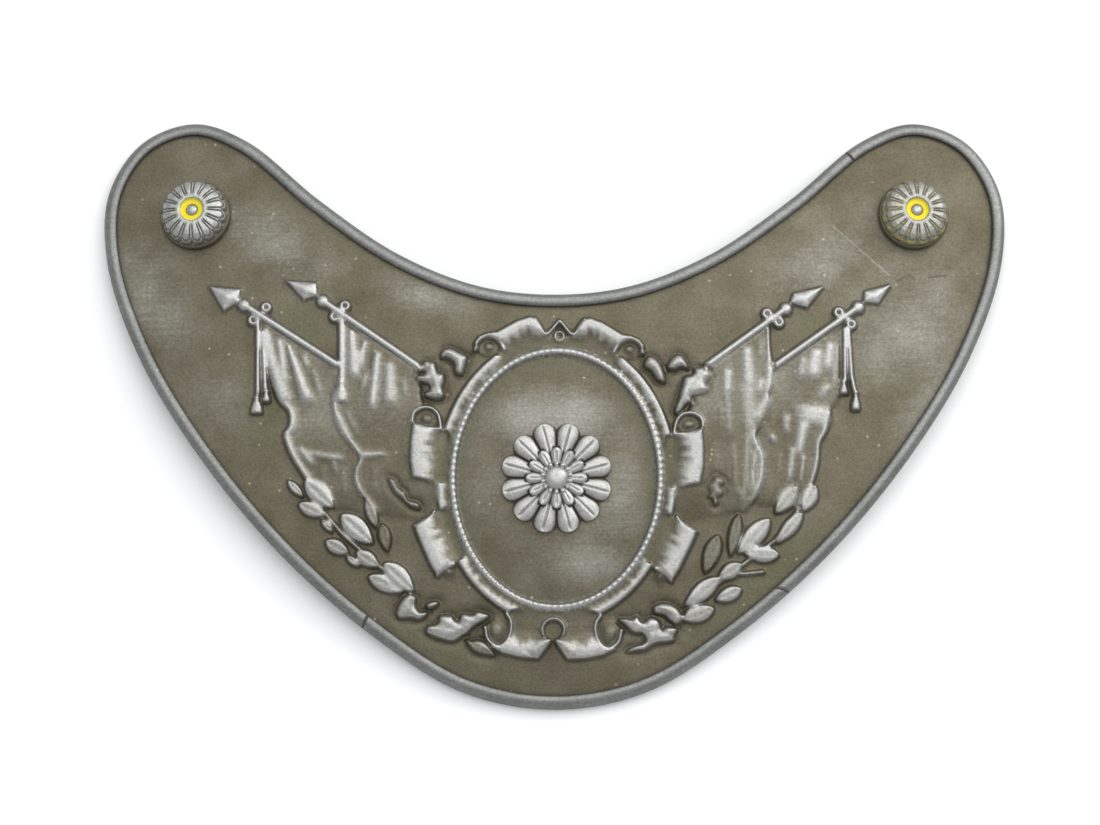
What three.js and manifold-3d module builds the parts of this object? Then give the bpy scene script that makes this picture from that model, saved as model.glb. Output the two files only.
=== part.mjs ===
// A steel gorget lying face up: a bowed crescent of sheet with stamped relief, its edge binding,
// two corner studs on their pins, and a rosette in the middle of the cartouche.
// Millimetres. Drawing places run x to the right and y towards the neck, and heights stand on the sheet.

import * as THREE from "three";
import Module from "manifold-3d";

const solids = await Module();
solids.setup();
const { Manifold, Mesh: SolidMesh } = solids;

// Driving dimensions of the sheet and of what is fixed to it
const SHEET_THICKNESS = 1.0;
const CROWN_Y = 14;
const BOW_RADIUS_ACROSS = 660;
const BOW_RADIUS_ALONG = 295;
const GAP = 0.3;
const ROOT = 0.5;
const SINK = 0.25;
const PLATE_INSET = 1.2;
const BLANK = { width: 196, length: 132 };
const TRIM = { bottom: -50, depth: 60 };
const BORE_LENGTH = 12;
const OUTLINE_STATIONS = 88;
const STUD = { x: 76.3, y: 43.4, petals: 16, steps: 3 };
const PIN_RADIUS = 1.3;
const PIN_TAIL_RADIUS = 3;

// Driving dimensions of the relief
const OVAL = { x: 0.4, y: -13.8, turn: THREE.MathUtils.degToRad(-1.2) };
const BEAD_OVAL = { across: 21.7, along: 26.7, half: 0.75, rise: 1.7 };
const BAND_OVAL = { across: 25.2, along: 30.4 };
const FIELD_RISE = 0.8;
const POLE = { half: 0.65, rise: 1.9 };
const CORD = { half: 0.5, rise: 1.8 };
const COLLAR = { radius: 1.35, rise: 2.2 };
const LOOP = { radius: 1.0, half: 0.4, rise: 1.8 };
const TASSEL = { length: 3.6, half: 1.25, rise: 2.0 };
const CURL = { half: 0.4, rise: 2.1, turns: 1.1 };
const PEAK = { tip: 33.1, base: 29.4, half: 2.6, rise: 1.8 };
const EYE = { v: -31.4, radius: 2.1, half: 0.6, rise: 2.4 };
const LEAF_RISE = 1.9;
const SPEAR_RISE = 2.2;
const CLOTH_COLUMNS = 6;

function table(columns, rows) {
  const names = columns.split(" ");
  return rows.map((row) => Object.fromEntries(names.map((name, i) => [name, row[i]])));
}

// Right half of the outline, from the middle of the neck edge round to the lower tip
const HALF_OUTLINE = table("x y", [
  [0, 25.3], [16, 27.2], [33, 34.3], [50, 46.5], [66, 60.3], [77.4, 64.6], [88.5, 60.6], [95.4, 49.5],
  [95.4, 34], [88, 13], [75, -8.2], [58, -28.6], [38.2, -46], [19.3, -57.7], [0, -61.3],
]);

// The binding's section: distance inward from the outline, and height over the sheet's face
const RIM_SECTION = table("inward up", [
  [2.8, GAP], [2.2, 1.1], [0.9, 1.1], [0, -0.5], [0.7, -2.1], [2.8, -1.9],
  [2.8, -SHEET_THICKNESS - GAP], [PLATE_INSET - GAP, -SHEET_THICKNESS - GAP], [PLATE_INSET - GAP, GAP],
]);

// Profiles turned round an axis: a scallop is the share of the radius taken off between two petals
const STUD_PROFILE = table("radius up scallop", [
  [PIN_RADIUS + GAP, 0, 0], [7.7, 0, 0], [7.5, 1.1, 0], [7.1, 2.4, 0.09], [4.6, 4.6, 0.05], [2.8, 4.9, 0],
  [2.6, 4.1, 0], [PIN_RADIUS + GAP, 4.1, 0], [PIN_RADIUS + GAP, 0, 0],
]);
const PIN_PROFILE = table("radius up", [
  [0, -SHEET_THICKNESS - 2.3], [PIN_TAIL_RADIUS, -SHEET_THICKNESS - 2.3],
  [PIN_TAIL_RADIUS, -SHEET_THICKNESS - 1.6], [PIN_RADIUS, -SHEET_THICKNESS - 1.6],
  [PIN_RADIUS, 4.5], [0.8, 5.0], [0, 5.1],
]);
const ROSETTE = { petals: 12, steps: 2, post: 1.5 };
const ROSETTE_PROFILE = table("radius up scallop", [
  [0, -2.4, 0], [ROSETTE.post, -2.4, 0], [ROSETTE.post, 0, 0], [11.6, 0, 0.12], [11.8, 0.7, 0.12],
  [9.4, 1.7, 0.08], [5.4, 1.0, 0], [4.4, 2.3, 0], [2.6, 3.0, 0], [0, 3.2, 0],
]);

// Half of the cartouche's flaps in oval coordinates, a row for each section from the band outward
const FLAPS = {
  ribbon: table("innerU innerV outerU outerV", [
    [2.6, 28.6, 3.0, 30.2], [4.2, 28.6, 5.7, 33.9], [8.2, 28.0, 8.9, 33.2], [11.4, 27.0, 13.2, 30.7],
  ]),
  upperTab: table("innerU innerV outerU outerV", [
    [23.2, 9.9, 29.9, 11.9], [24.2, 7.5, 30.9, 7.5], [24.8, 3.0, 30.9, 3.0], [24.9, -1.5, 30.2, -0.6],
  ]),
  lowerTab: table("innerU innerV outerU outerV", [
    [24.7, -7.4, 29.5, -10.4], [23.6, -10.5, 28.9, -12.6], [22.2, -14, 27.0, -16.4],
    [20.4, -17.6, 24.7, -20.7],
  ]),
  foot: table("innerU innerV outerU outerV", [
    [0.2, -29.4, 0.2, -33.9], [3.0, -29.2, 2.8, -37.4], [6.0, -28.8, 7.0, -37.2], [8.8, -28.2, 10.8, -35.7],
  ]),
};
const FLAP_SECTION = table("share up", [
  [0, -ROOT], [0, 1.1], [0.45, 1.3], [0.8, 2.4], [1, 2.0], [1, -ROOT],
]);
const CURLS = table("u v radius start hand", [
  [15.0, 27.9, 2.3, 100, -1], [27.3, 12.2, 2.4, -20, 1], [12.4, -32.3, 2.2, -110, 1],
]);

// Flags: cloth rows run from the outer edge to the inner one, from the pole down to the hem
const ROW = "outerX outerY innerX innerY";
const FOLD = "fromX fromY toX toY half rise";
const FLAGS = [
  {
    rise: 0.8,
    pole: { fromX: -65.5, fromY: 23.4, toX: -45.8, toY: 10.4 },
    spear: { tipX: -73.3, tipY: 27.9, baseX: -66.3, baseY: 24.0, half: 2.9 },
    loops: table("x y", [[-60.8, 23.0], [-63.5, 19.9]]),
    cords: table("fromX fromY toX toY", [[-62.8, 20.5, -62.4, 3.9], [-61.5, 19.5, -60.3, 4.9]]),
    rows: table(ROW, [
      [-62.2, 20.4, -46.0, 10.9], [-61.5, 13.5, -45.6, 7.5], [-60.3, 7.6, -45.6, 3.5],
      [-57.2, 1.6, -45.6, -0.5], [-56.2, -1.5, -44.6, -4], [-57.1, -4.1, -43, -7.5],
      [-55.4, -9.2, -41.5, -11.5], [-52.7, -13.5, -40.5, -15.5], [-49.5, -18.5, -38.5, -20.5],
    ]),
    folds: table(FOLD, [
      [-61, 17.6, -56.3, 2.4, 1.6, 0.7], [-58.2, 16, -56.8, 5.6, 0.9, 0.5],
      [-55.7, 14.3, -51.9, 3.1, 1.1, 0.6], [-50, 8.4, -49, 4.5, 0.9, 0.3],
      [-52.7, -8, -44.5, -9, 1.2, 0.6], [-56.2, -6.5, -52.9, -13, 0.9, 0.5],
    ]),
  },
  {
    rise: 1.2,
    pole: { fromX: -48.8, fromY: 24.0, toX: -27.9, toY: 9.3 },
    spear: { tipX: -57.0, tipY: 28.8, baseX: -49.8, baseY: 24.9, half: 2.7 },
    loops: table("x y", [[-43.9, 22.9], [-46.4, 20.5]]),
    cords: table("fromX fromY toX toY", [[-44.9, 20.3, -44.7, 6.2]]),
    rows: table(ROW, [
      [-45.9, 20.8, -28.2, 9.0], [-45.2, 12.5, -27.5, 4], [-46.4, 5.5, -27, -1], [-46.5, 1, -26.8, -6],
      [-44.9, -4.2, -26.5, -10], [-42, -8, -26, -14], [-41.5, -11.5, -26, -17], [-41.6, -15.5, -27, -20],
      [-38.5, -19, -28, -23],
    ]),
    folds: table(FOLD, [
      [-43.1, 17.4, -42.1, 7.5, 1.1, 0.6], [-40, 14.8, -42, 8.5, 0.8, 0.5],
      [-37.2, 12.1, -38.2, 1.3, 1.0, 0.6], [-34.3, 10.4, -34, 2.3, 1.4, 0.5],
      [-41, -9, -35.5, -8.8, 1.0, 0.5],
    ]),
  },
  {
    rise: 1.2,
    pole: { fromX: 48.7, fromY: 22.3, toX: 32.0, toY: 10.0 },
    spear: { tipX: 57.2, tipY: 27.6, baseX: 49.6, baseY: 23.4, half: 2.3 },
    loops: table("x y", [[44.7, 21.4], [47.4, 19.2]]),
    cords: [],
    rows: table(ROW, [
      [45.4, 19, 31.5, 9.4], [45.6, 13.6, 29, 4], [46.4, 8, 28, -1], [45.6, 1.5, 27.5, -6],
      [44.6, -2, 27, -10], [42.6, -4.7, 26.5, -13.5], [44.1, -9, 26.5, -17], [44.0, -13.5, 27, -20],
      [42.4, -18, 29, -23],
    ]),
    folds: table(FOLD, [
      [40.6, 13.4, 40.9, 3, 1.3, 0.7], [45, 8.5, 44.8, 0, 0.8, 0.5], [36.4, 8.5, 36.3, 4, 1.0, 0.5],
      [40.1, -4.3, 39, -18, 0.9, 0.5], [43.4, -7.5, 42.3, -17, 0.8, 0.5],
    ]),
  },
  {
    rise: 0.8,
    pole: { fromX: 64.1, fromY: 22.9, toX: 46.5, toY: 10.2 },
    spear: { tipX: 71.6, tipY: 28.4, baseX: 65.1, baseY: 24.0, half: 2.3 },
    loops: table("x y", [[60.0, 21.9], [62.6, 19.0]]),
    cords: table("fromX fromY toX toY", [[61.2, 17.9, 60.9, 7.4], [62.2, 17.9, 63.0, 5.3]]),
    rows: table(ROW, [
      [60.8, 19.2, 46.5, 10.0], [60.4, 12.5, 46.0, 7], [59.9, 4, 45.5, 3], [58.4, -0.6, 45.0, -1],
      [57, -4.3, 43.2, -5], [55.8, -8, 43.6, -9], [55.2, -12, 43.6, -13], [54, -15.5, 43, -16.5],
      [51, -19.5, 42, -21],
    ]),
    folds: table(FOLD, [
      [57.9, 14.5, 57.1, 9, 0.9, 0.5], [55.4, 13, 54.3, 7.5, 1.4, 0.7], [51.5, -1, 57, -1.5, 2.2, 0.6],
      [50.7, -8.9, 49.1, -14.1, 0.9, 0.5], [52.7, -5.9, 51.3, -14.7, 0.9, 0.5],
      [55, -7.5, 53.5, -15, 1.0, 0.6],
    ]),
  },
];

// Leaves of the wreath, from the tip to the base
const LEAF = "tipX tipY baseX baseY half";
const LAUREL_LEAVES = table(LEAF, [
  [-55.7, -14.1, -52.6, -17.4, 0.9], [-52, -14.3, -46.2, -19.5, 2.3], [-53.4, -19, -48.1, -21.3, 1.6],
  [-48.3, -22.4, -46.4, -24.8, 0.8], [-44.4, -21.4, -38, -27, 2.3], [-39.3, -18, -37, -23.9, 1.2],
  [-47.3, -27, -43.3, -28.9, 1.5], [-43.3, -29.9, -40.9, -31.8, 0.7], [-40.9, -29.2, -36.8, -31.6, 1.6],
  [-35.4, -31.5, -29.5, -36.9, 2.2], [-38.8, -34, -31.8, -37.2, 1.8],
  [54.2, -15.6, 52, -20.3, 1.6], [50.4, -15.8, 46.4, -20.6, 1.7], [51.8, -20.8, 46.5, -24.6, 1.4],
  [44.8, -22.2, 38.3, -29, 1.9], [38.4, -21.3, 36.6, -29.8, 1.3], [46.9, -29.5, 40, -29, 1.7],
  [33.6, -25.7, 31.4, -33.2, 1.7], [38.7, -31.7, 34.7, -34.1, 1.7], [34.2, -34.4, 27.2, -39.9, 1.8],
  [38.9, -36.6, 33.9, -38.6, 1.5], [33.3, -40.7, 26.6, -42.7, 1.9],
]);
const OAK_LEAVES = table(LEAF, [
  [-26.8, -45.9, -14.5, -42.8, 3.0], [-32.9, -42.0, -25.6, -39.0, 1.8], [-18.5, -46.9, -12.3, -50.6, 1.4],
  [-34.5, -14, -28, -20, 2.0], [-24.6, 2.8, -25.9, 10.8, 2.5], [-18.6, 9.4, -23.2, 13.4, 2.0],
  [25.8, -45.9, 13.3, -43.4, 2.7], [26.7, -42.6, 20.5, -39.8, 1.7], [15.9, -48.6, 12.0, -50.4, 1.0],
  [33.5, -14, 33.0, -20, 2.0], [25.5, -0.3, 32.4, 9.5, 2.6], [19.4, 10.2, 26.0, 11.2, 1.7],
]);
const LAUREL_SHAPE = table("share width", [[0, 0.06], [0.3, 0.85], [0.7, 0.9], [1, 0.15]]);
const OAK_SHAPE = table("share width", [
  [0, 0.25], [0.15, 0.8], [0.3, 0.5], [0.45, 1], [0.62, 0.6], [0.75, 0.8], [1, 0.15],
]);
const TASSEL_SHAPE = table("share width", [[0, 0.9], [0.6, 0.7], [0.78, 0.35], [1, 0.55]]);
const SPEAR_SHAPE = table("share width", [[0, 0.05], [0.72, 1], [1, 0.3]]);

function sheetHeight(x, y) {
  return -(x ** 2) / (2 * BOW_RADIUS_ACROSS) - (y - CROWN_Y) ** 2 / (2 * BOW_RADIUS_ALONG);
}

function sheetNormal(x, y) {
  return new THREE.Vector3(x / BOW_RADIUS_ACROSS, (y - CROWN_Y) / BOW_RADIUS_ALONG, 1).normalize();
}

function onSheet(x, y, up) {
  return new THREE.Vector3(x, y, sheetHeight(x, y) + up);
}

function inOval(u, v) {
  return new THREE.Vector2(u, v).rotateAround(new THREE.Vector2(), OVAL.turn).add(OVAL);
}

function mix(a, b, share) {
  return THREE.MathUtils.lerp(a, b, share);
}

// Closed meshes: a loft joins rings of points, and its ends are filled in
function ringFaces(ring) {
  const flat = ring.map((p) => new THREE.Vector2(Math.hypot(p.x - ring[0].x, p.y - ring[0].y), p.z));
  const faces = THREE.ShapeUtils.triangulateShape(flat, []);
  return THREE.ShapeUtils.area(flat) < 0 ? faces.map((face) => face.toReversed()) : faces;
}

function loft(rings, closed = false) {
  const count = rings[0].length;
  const index = [];
  for (let i = 0; i < rings.length - (closed ? 0 : 1); i += 1) {
    const a = i * count;
    const b = ((i + 1) % rings.length) * count;
    for (let k = 0; k < count; k += 1) {
      const next = (k + 1) % count;
      index.push(a + k, b + k, b + next, a + k, b + next, a + next);
    }
  }
  if (!closed) {
    const last = (rings.length - 1) * count;
    ringFaces(rings[0]).forEach((face) => index.push(...face));
    ringFaces(rings.at(-1)).forEach((face) => index.push(...face.toReversed().map((k) => k + last)));
  }
  return asGeometry(rings.flat().flatMap((p) => p.toArray()), facingOut(rings.flat(), index));
}

function facingOut(points, index) {
  let volume = 0;
  for (let i = 0; i < index.length; i += 3) {
    const [a, b, c] = index.slice(i, i + 3).map((k) => points[k]);
    volume += a.dot(new THREE.Vector3().crossVectors(b, c));
  }
  return volume < 0 ? index.toReversed() : index;
}

function asGeometry(position, index) {
  const geometry = new THREE.BufferGeometry();
  geometry.setAttribute("position", new THREE.Float32BufferAttribute(position, 3));
  geometry.setIndex([...index]);
  return geometry;
}

// Joins and cuts
function asSolid(geometry) {
  const position = geometry.getAttribute("position");
  const index = geometry.index?.array ?? Uint32Array.from({ length: position.count }, (_, i) => i);
  const mesh = new SolidMesh({
    numProp: 3,
    vertProperties: new Float32Array(position.array),
    triVerts: new Uint32Array(index),
  });
  mesh.merge();
  return new Manifold(mesh);
}

function solidGeometry(solid) {
  const mesh = solid.getMesh();
  return asGeometry(mesh.vertProperties, mesh.triVerts);
}

// Relief shapes
function halfRound(half, rise) {
  return table("offset up", [
    [-half, -ROOT], [-half, rise * 0.55], [0, rise], [half, rise * 0.55], [half, -ROOT],
  ]);
}

function barRing(place, along, section) {
  const across = new THREE.Vector2(-along.y, along.x).normalize();
  return section.map(({ offset, up }) => (
    onSheet(place.x + across.x * offset, place.y + across.y * offset, up)
  ));
}

function straightBar({ fromX, fromY, toX, toY }, { half, rise }) {
  const along = new THREE.Vector2(toX - fromX, toY - fromY);
  const section = halfRound(half, rise);
  const places = [0, 1].map((share) => new THREE.Vector2(mix(fromX, toX, share), mix(fromY, toY, share)));
  return loft(places.map((place) => barRing(place, along, section)));
}

function ringBar(x, y, radius, { half, rise }, stations = 6) {
  const rings = [];
  for (let i = 0; i < stations; i += 1) {
    const angle = (i / stations) * 2 * Math.PI;
    const spoke = new THREE.Vector2(Math.cos(angle), Math.sin(angle));
    const place = new THREE.Vector2(x + radius * spoke.x, y + radius * spoke.y);
    rings.push(barRing(place, new THREE.Vector2(-spoke.y, spoke.x), halfRound(half, rise)));
  }
  return loft(rings, true);
}

function curlBar({ u, v, radius, start, hand }, side) {
  const stations = 8;
  const points = [];
  for (let i = 0; i <= stations; i += 1) {
    const angle = THREE.MathUtils.degToRad(start) + hand * (i / stations) * CURL.turns * 2 * Math.PI;
    const reach = radius * (1 - 0.7 * (i / stations));
    points.push(inOval(side * (u + reach * Math.cos(angle)), v + reach * Math.sin(angle)));
  }
  const rings = points.map((place, i) => {
    const along = points[Math.min(i + 1, stations)].clone().sub(points[Math.max(i - 1, 0)]);
    return barRing(place, along, halfRound(CURL.half, CURL.rise));
  });
  return loft(rings);
}

function leafPad({ tipX, tipY, baseX, baseY, half }, shape, rise) {
  const along = new THREE.Vector2(baseX - tipX, baseY - tipY);
  const rings = shape.map(({ share, width }) => {
    const place = new THREE.Vector2(mix(tipX, baseX, share), mix(tipY, baseY, share));
    const ridge = rise * (0.55 + 0.45 * width);
    const side = half * width;
    const section = table("offset up", [
      [-side, -ROOT], [-side, rise * 0.5], [0, ridge], [side, rise * 0.5], [side, -ROOT],
    ]);
    return barRing(place, along, section);
  });
  return loft(rings);
}

function foldRise(folds, x, y) {
  const place = new THREE.Vector3(x, y, 0);
  const line = new THREE.Line3();
  const foot = new THREE.Vector3();
  const rises = folds.map(({ fromX, fromY, toX, toY, half, rise }) => {
    line.start.set(fromX, fromY, 0);
    line.end.set(toX, toY, 0);
    const away = line.closestPointToPoint(place, true, foot).distanceTo(place) / half;
    return rise * Math.max(0, 1 - away ** 2);
  });
  return Math.max(0, ...rises);
}

function clothPad({ rows, folds, rise }) {
  const rings = rows.map(({ outerX, outerY, innerX, innerY }) => {
    const face = [];
    for (let k = 0; k <= CLOTH_COLUMNS; k += 1) {
      const x = mix(outerX, innerX, k / CLOTH_COLUMNS);
      const y = mix(outerY, innerY, k / CLOTH_COLUMNS);
      face.push(onSheet(x, y, rise + foldRise(folds, x, y)));
    }
    return [onSheet(outerX, outerY, -ROOT), ...face, onSheet(innerX, innerY, -ROOT)];
  });
  return loft(rings);
}

function flagPads(flag) {
  const { pole, spear, loops, cords } = flag;
  const tassels = cords.map(({ toX, toY }) => ({
    tipX: toX, tipY: toY - TASSEL.length, baseX: toX, baseY: toY, half: TASSEL.half,
  }));
  return [
    clothPad(flag),
    straightBar(pole, POLE),
    leafPad(spear, SPEAR_SHAPE, SPEAR_RISE),
    knob(pole.fromX, pole.fromY, COLLAR.radius, COLLAR.rise),
    ...loops.map(({ x, y }) => ringBar(x, y, LOOP.radius, LOOP)),
    ...cords.map((cord) => straightBar(cord, CORD)),
    ...tassels.map((tassel) => leafPad(tassel, TASSEL_SHAPE, TASSEL.rise)),
  ];
}

function knob(x, y, radius, rise) {
  return onDome(new THREE.SphereGeometry(1, 8, 4), (p) => [x + radius * p.x, y + radius * p.z], rise);
}

function onDome(unitSphere, placeOf, rise) {
  const position = unitSphere.getAttribute("position");
  const point = new THREE.Vector3();
  for (let i = 0; i < position.count; i += 1) {
    point.fromBufferAttribute(position, i);
    const [x, y] = placeOf(point);
    const up = point.y > 0 ? point.y * (rise + SINK) - SINK : point.y * ROOT - SINK;
    position.setXYZ(i, ...onSheet(x, y, up).toArray());
  }
  return mirroredFaces(unitSphere);
}

function mirroredFaces(geometry) {
  const index = [...geometry.index.array].toReversed();
  return asGeometry(geometry.getAttribute("position").array, index);
}

function ovalRing(sections, stations = 36) {
  const rings = [];
  for (let i = 0; i < stations; i += 1) {
    const angle = (i / stations) * 2 * Math.PI;
    rings.push(sections.map(({ across, along, up }) => {
      const place = inOval(across * Math.cos(angle), along * Math.sin(angle));
      return onSheet(place.x, place.y, up);
    }));
  }
  return loft(rings, true);
}

function flapPad(rows, side) {
  const rings = rows.map(({ innerU, innerV, outerU, outerV }) => FLAP_SECTION.map(({ share, up }) => {
    const place = inOval(side * mix(innerU, outerU, share), mix(innerV, outerV, share));
    return onSheet(place.x, place.y, up);
  }));
  return loft(rings);
}

function cartouchePads() {
  const bead = halfRound(BEAD_OVAL.half, BEAD_OVAL.rise).map(({ offset, up }) => ({
    across: BEAD_OVAL.across + offset, along: BEAD_OVAL.along + offset, up,
  }));
  const inner = { across: BEAD_OVAL.across + 0.5, along: BEAD_OVAL.along + 0.5 };
  const crest = { across: BAND_OVAL.across - 0.7, along: BAND_OVAL.along - 0.7 };
  const band = [
    { ...inner, up: -ROOT }, { ...inner, up: 1.0 }, { ...crest, up: 1.7 },
    { ...BAND_OVAL, up: 1.3 }, { ...BAND_OVAL, up: -ROOT },
  ];
  const fieldPlace = (p) => inOval(p.x * BEAD_OVAL.across, p.z * BEAD_OVAL.along).toArray();
  const tip = inOval(0, PEAK.tip);
  const base = inOval(0, PEAK.base);
  const peak = { tipX: tip.x, tipY: tip.y, baseX: base.x, baseY: base.y, half: PEAK.half };
  const eye = inOval(0, EYE.v);
  return [
    onDome(new THREE.SphereGeometry(1, 20, 4), fieldPlace, FIELD_RISE),
    ovalRing(bead),
    ovalRing(band),
    leafPad(peak, SPEAR_SHAPE, PEAK.rise),
    ringBar(eye.x, eye.y, EYE.radius, EYE, 12),
    ...[-1, 1].flatMap((side) => Object.values(FLAPS).map((rows) => flapPad(rows, side))),
    ...[-1, 1].flatMap((side) => CURLS.map((curl) => curlBar(curl, side))),
  ];
}

// The outline's stations, each with the direction into the plate
function outlineStations() {
  const mirrored = HALF_OUTLINE.slice(1, -1).map(({ x, y }) => ({ x: -x, y })).toReversed();
  const points = [...HALF_OUTLINE, ...mirrored].map(({ x, y }) => new THREE.Vector3(x, y, 0));
  const curve = new THREE.CatmullRomCurve3(points, true);
  const stations = [];
  for (let i = 0; i < OUTLINE_STATIONS; i += 1) {
    const place = curve.getPointAt(i / OUTLINE_STATIONS);
    const along = curve.getTangentAt(i / OUTLINE_STATIONS);
    stations.push((inward) => new THREE.Vector2(place.x + along.y * inward, place.y - along.x * inward));
  }
  return stations;
}

function rimGeometry(stations) {
  const rings = stations.map((station) => RIM_SECTION.map(({ inward, up }) => {
    const place = station(inward);
    return onSheet(place.x, place.y, up);
  }));
  return loft(rings, true);
}

// The bowed sheet: a slab bent to the sheet's form, trimmed to the outline
function sheetSolid(stations) {
  const slab = new THREE.BoxGeometry(BLANK.width, BLANK.length, SHEET_THICKNESS, 10, 9, 1);
  slab.translate(0, 1.6, -SHEET_THICKNESS / 2);
  const position = slab.getAttribute("position");
  for (let i = 0; i < position.count; i += 1) {
    position.setZ(i, position.getZ(i) + sheetHeight(position.getX(i), position.getY(i)));
  }
  const shape = new THREE.Shape(stations.map((station) => station(PLATE_INSET)));
  const trim = new THREE.ExtrudeGeometry(shape, { depth: TRIM.depth, bevelEnabled: false });
  return asSolid(slab).intersect(asSolid(trim.translate(0, 0, TRIM.bottom)));
}

function boreSolid(x, y, radius) {
  const bore = new THREE.CylinderGeometry(radius, radius, BORE_LENGTH, 16);
  const turn = new THREE.Quaternion();
  bore.applyQuaternion(turn.setFromUnitVectors(THREE.Object3D.DEFAULT_UP, sheetNormal(x, y)));
  return asSolid(bore.translate(x, y, sheetHeight(x, y)));
}

function plateGeometry(stations) {
  const pads = [
    ...FLAGS.flatMap(flagPads),
    ...LAUREL_LEAVES.map((row) => leafPad(row, LAUREL_SHAPE, LEAF_RISE)),
    ...OAK_LEAVES.map((row) => leafPad(row, OAK_SHAPE, LEAF_RISE)),
    ...cartouchePads(),
  ];
  const whole = Manifold.union([sheetSolid(stations), ...pads.map(asSolid)]);
  const bores = [
    boreSolid(-STUD.x, STUD.y, PIN_RADIUS + GAP),
    boreSolid(STUD.x, STUD.y, PIN_RADIUS + GAP),
    boreSolid(OVAL.x, OVAL.y, ROSETTE.post + GAP),
  ];
  return solidGeometry(whole.subtract(Manifold.union(bores)));
}

// Turned pieces stand on +Z: a profile starts and ends on the axis, or closes on itself round a bore
function turned(profile, segments) {
  const points = profile.map(({ radius, up }) => new THREE.Vector2(radius, up));
  return new THREE.LatheGeometry(points, segments).rotateX(Math.PI / 2);
}

function petalled(profile, { petals, steps }) {
  const geometry = turned(profile, petals * steps);
  const position = geometry.getAttribute("position");
  for (let i = 0; i < position.count; i += 1) {
    const segment = Math.floor(i / profile.length);
    const notched = segment % steps === steps - 1;
    const reach = notched ? 1 - profile[i % profile.length].scallop : 1;
    position.setXY(i, position.getX(i) * reach, position.getY(i) * reach);
  }
  return geometry;
}

function piece(name, geometry, colour, roughness, metalness = 1) {
  const material = new THREE.MeshStandardMaterial({ color: colour, roughness, metalness });
  const mesh = new THREE.Mesh(geometry, material);
  mesh.name = name;
  return mesh;
}

function standOnSheet(mesh, x, y, up) {
  const normal = sheetNormal(x, y);
  mesh.quaternion.setFromUnitVectors(new THREE.Vector3(0, 0, 1), normal);
  mesh.position.copy(onSheet(x, y, 0).addScaledVector(normal, up));
  return mesh;
}

const stations = outlineStations();
const gorget = new THREE.Group();
gorget.add(piece("plate", plateGeometry(stations), 0x746d5f, 0.45));
gorget.add(piece("rim", rimGeometry(stations), 0x8f9092, 0.35));
for (const [side, x] of [["left", -STUD.x], ["right", STUD.x]]) {
  const stud = piece(`boss_${side}`, petalled(STUD_PROFILE, STUD), 0xaaaaa8, 0.3);
  const pin = piece(`pin_${side}`, turned(PIN_PROFILE, 16), 0xb8b8b6, 0.3);
  gorget.add(standOnSheet(stud, x, STUD.y, GAP), standOnSheet(pin, x, STUD.y, 0));
}
const rosette = piece("centre_rosette", petalled(ROSETTE_PROFILE, ROSETTE), 0xa4a4a2, 0.32);
gorget.add(standOnSheet(rosette, OVAL.x, OVAL.y, FIELD_RISE + GAP));

// The origin is the bottom centre of the whole object's box
const box = new THREE.Box3().setFromObject(gorget, true);
const centre = box.getCenter(new THREE.Vector3());
gorget.position.set(-centre.x, -centre.y, -box.min.z);

export default gorget;
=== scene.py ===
# %% [markdown]
# # A stamped steel gorget
# A gorget is a crescent of sheet steel worn at the neck as a badge of office. This one lies face up. Its
# ornament was struck into the sheet with a die, its edge is bound with a folded strip, and two studs sit
# at the upper corners. The frame below holds every part at its real size. This lesson gives each part a
# finer mesh in the same place, and a finish worked out from how the real surface was made and worn, with
# painted sheen and painted shade in its colour.

# %% Load the frame
import math

import bpy
import numpy as np
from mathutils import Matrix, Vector
from mathutils.geometry import delaunay_2d_cdt


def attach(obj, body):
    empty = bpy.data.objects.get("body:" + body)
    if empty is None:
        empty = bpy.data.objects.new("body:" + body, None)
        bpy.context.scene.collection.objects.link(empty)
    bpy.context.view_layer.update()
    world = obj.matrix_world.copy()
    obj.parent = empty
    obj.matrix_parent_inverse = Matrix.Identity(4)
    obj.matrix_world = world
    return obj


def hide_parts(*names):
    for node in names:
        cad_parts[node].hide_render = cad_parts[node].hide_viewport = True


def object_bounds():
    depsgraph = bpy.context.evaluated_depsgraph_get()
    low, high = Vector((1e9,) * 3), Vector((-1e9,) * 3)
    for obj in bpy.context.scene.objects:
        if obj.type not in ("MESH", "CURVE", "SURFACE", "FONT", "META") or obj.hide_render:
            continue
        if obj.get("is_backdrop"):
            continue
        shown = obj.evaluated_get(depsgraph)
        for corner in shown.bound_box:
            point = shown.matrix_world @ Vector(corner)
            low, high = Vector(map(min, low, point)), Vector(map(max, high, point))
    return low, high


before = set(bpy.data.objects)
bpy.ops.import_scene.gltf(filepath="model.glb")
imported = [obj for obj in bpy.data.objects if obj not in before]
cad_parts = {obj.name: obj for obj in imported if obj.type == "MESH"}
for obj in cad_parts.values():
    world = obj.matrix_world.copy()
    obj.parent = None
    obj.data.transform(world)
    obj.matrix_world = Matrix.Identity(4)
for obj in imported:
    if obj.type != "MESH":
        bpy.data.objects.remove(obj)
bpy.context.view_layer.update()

MM = 0.001

# %% [markdown]
# ## Stage, camera and light
# The photograph looks almost straight down, from the lower tip's side, on a plain white ground. A long
# lens from 0.7 m keeps the crescent's proportions. Steel shows what it reflects, so the light matters as
# much as the finish: one broad panel overhead gives the flat sheet an even tone, and a smaller one on the
# upper right draws an edge along the relief.

# %% Floor, camera and lights
VIEW_ELEVATION = 80.0
VIEW_DISTANCE = 700.0
VIEW_TARGET = (-0.95, -1.0, 8.5)
SENSOR_WIDTH = 36.0
FIELD_WIDTH = 231.0
FLOOR_SIZE = 6000.0

scene = bpy.context.scene
scene.view_settings.view_transform = "Standard"


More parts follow.
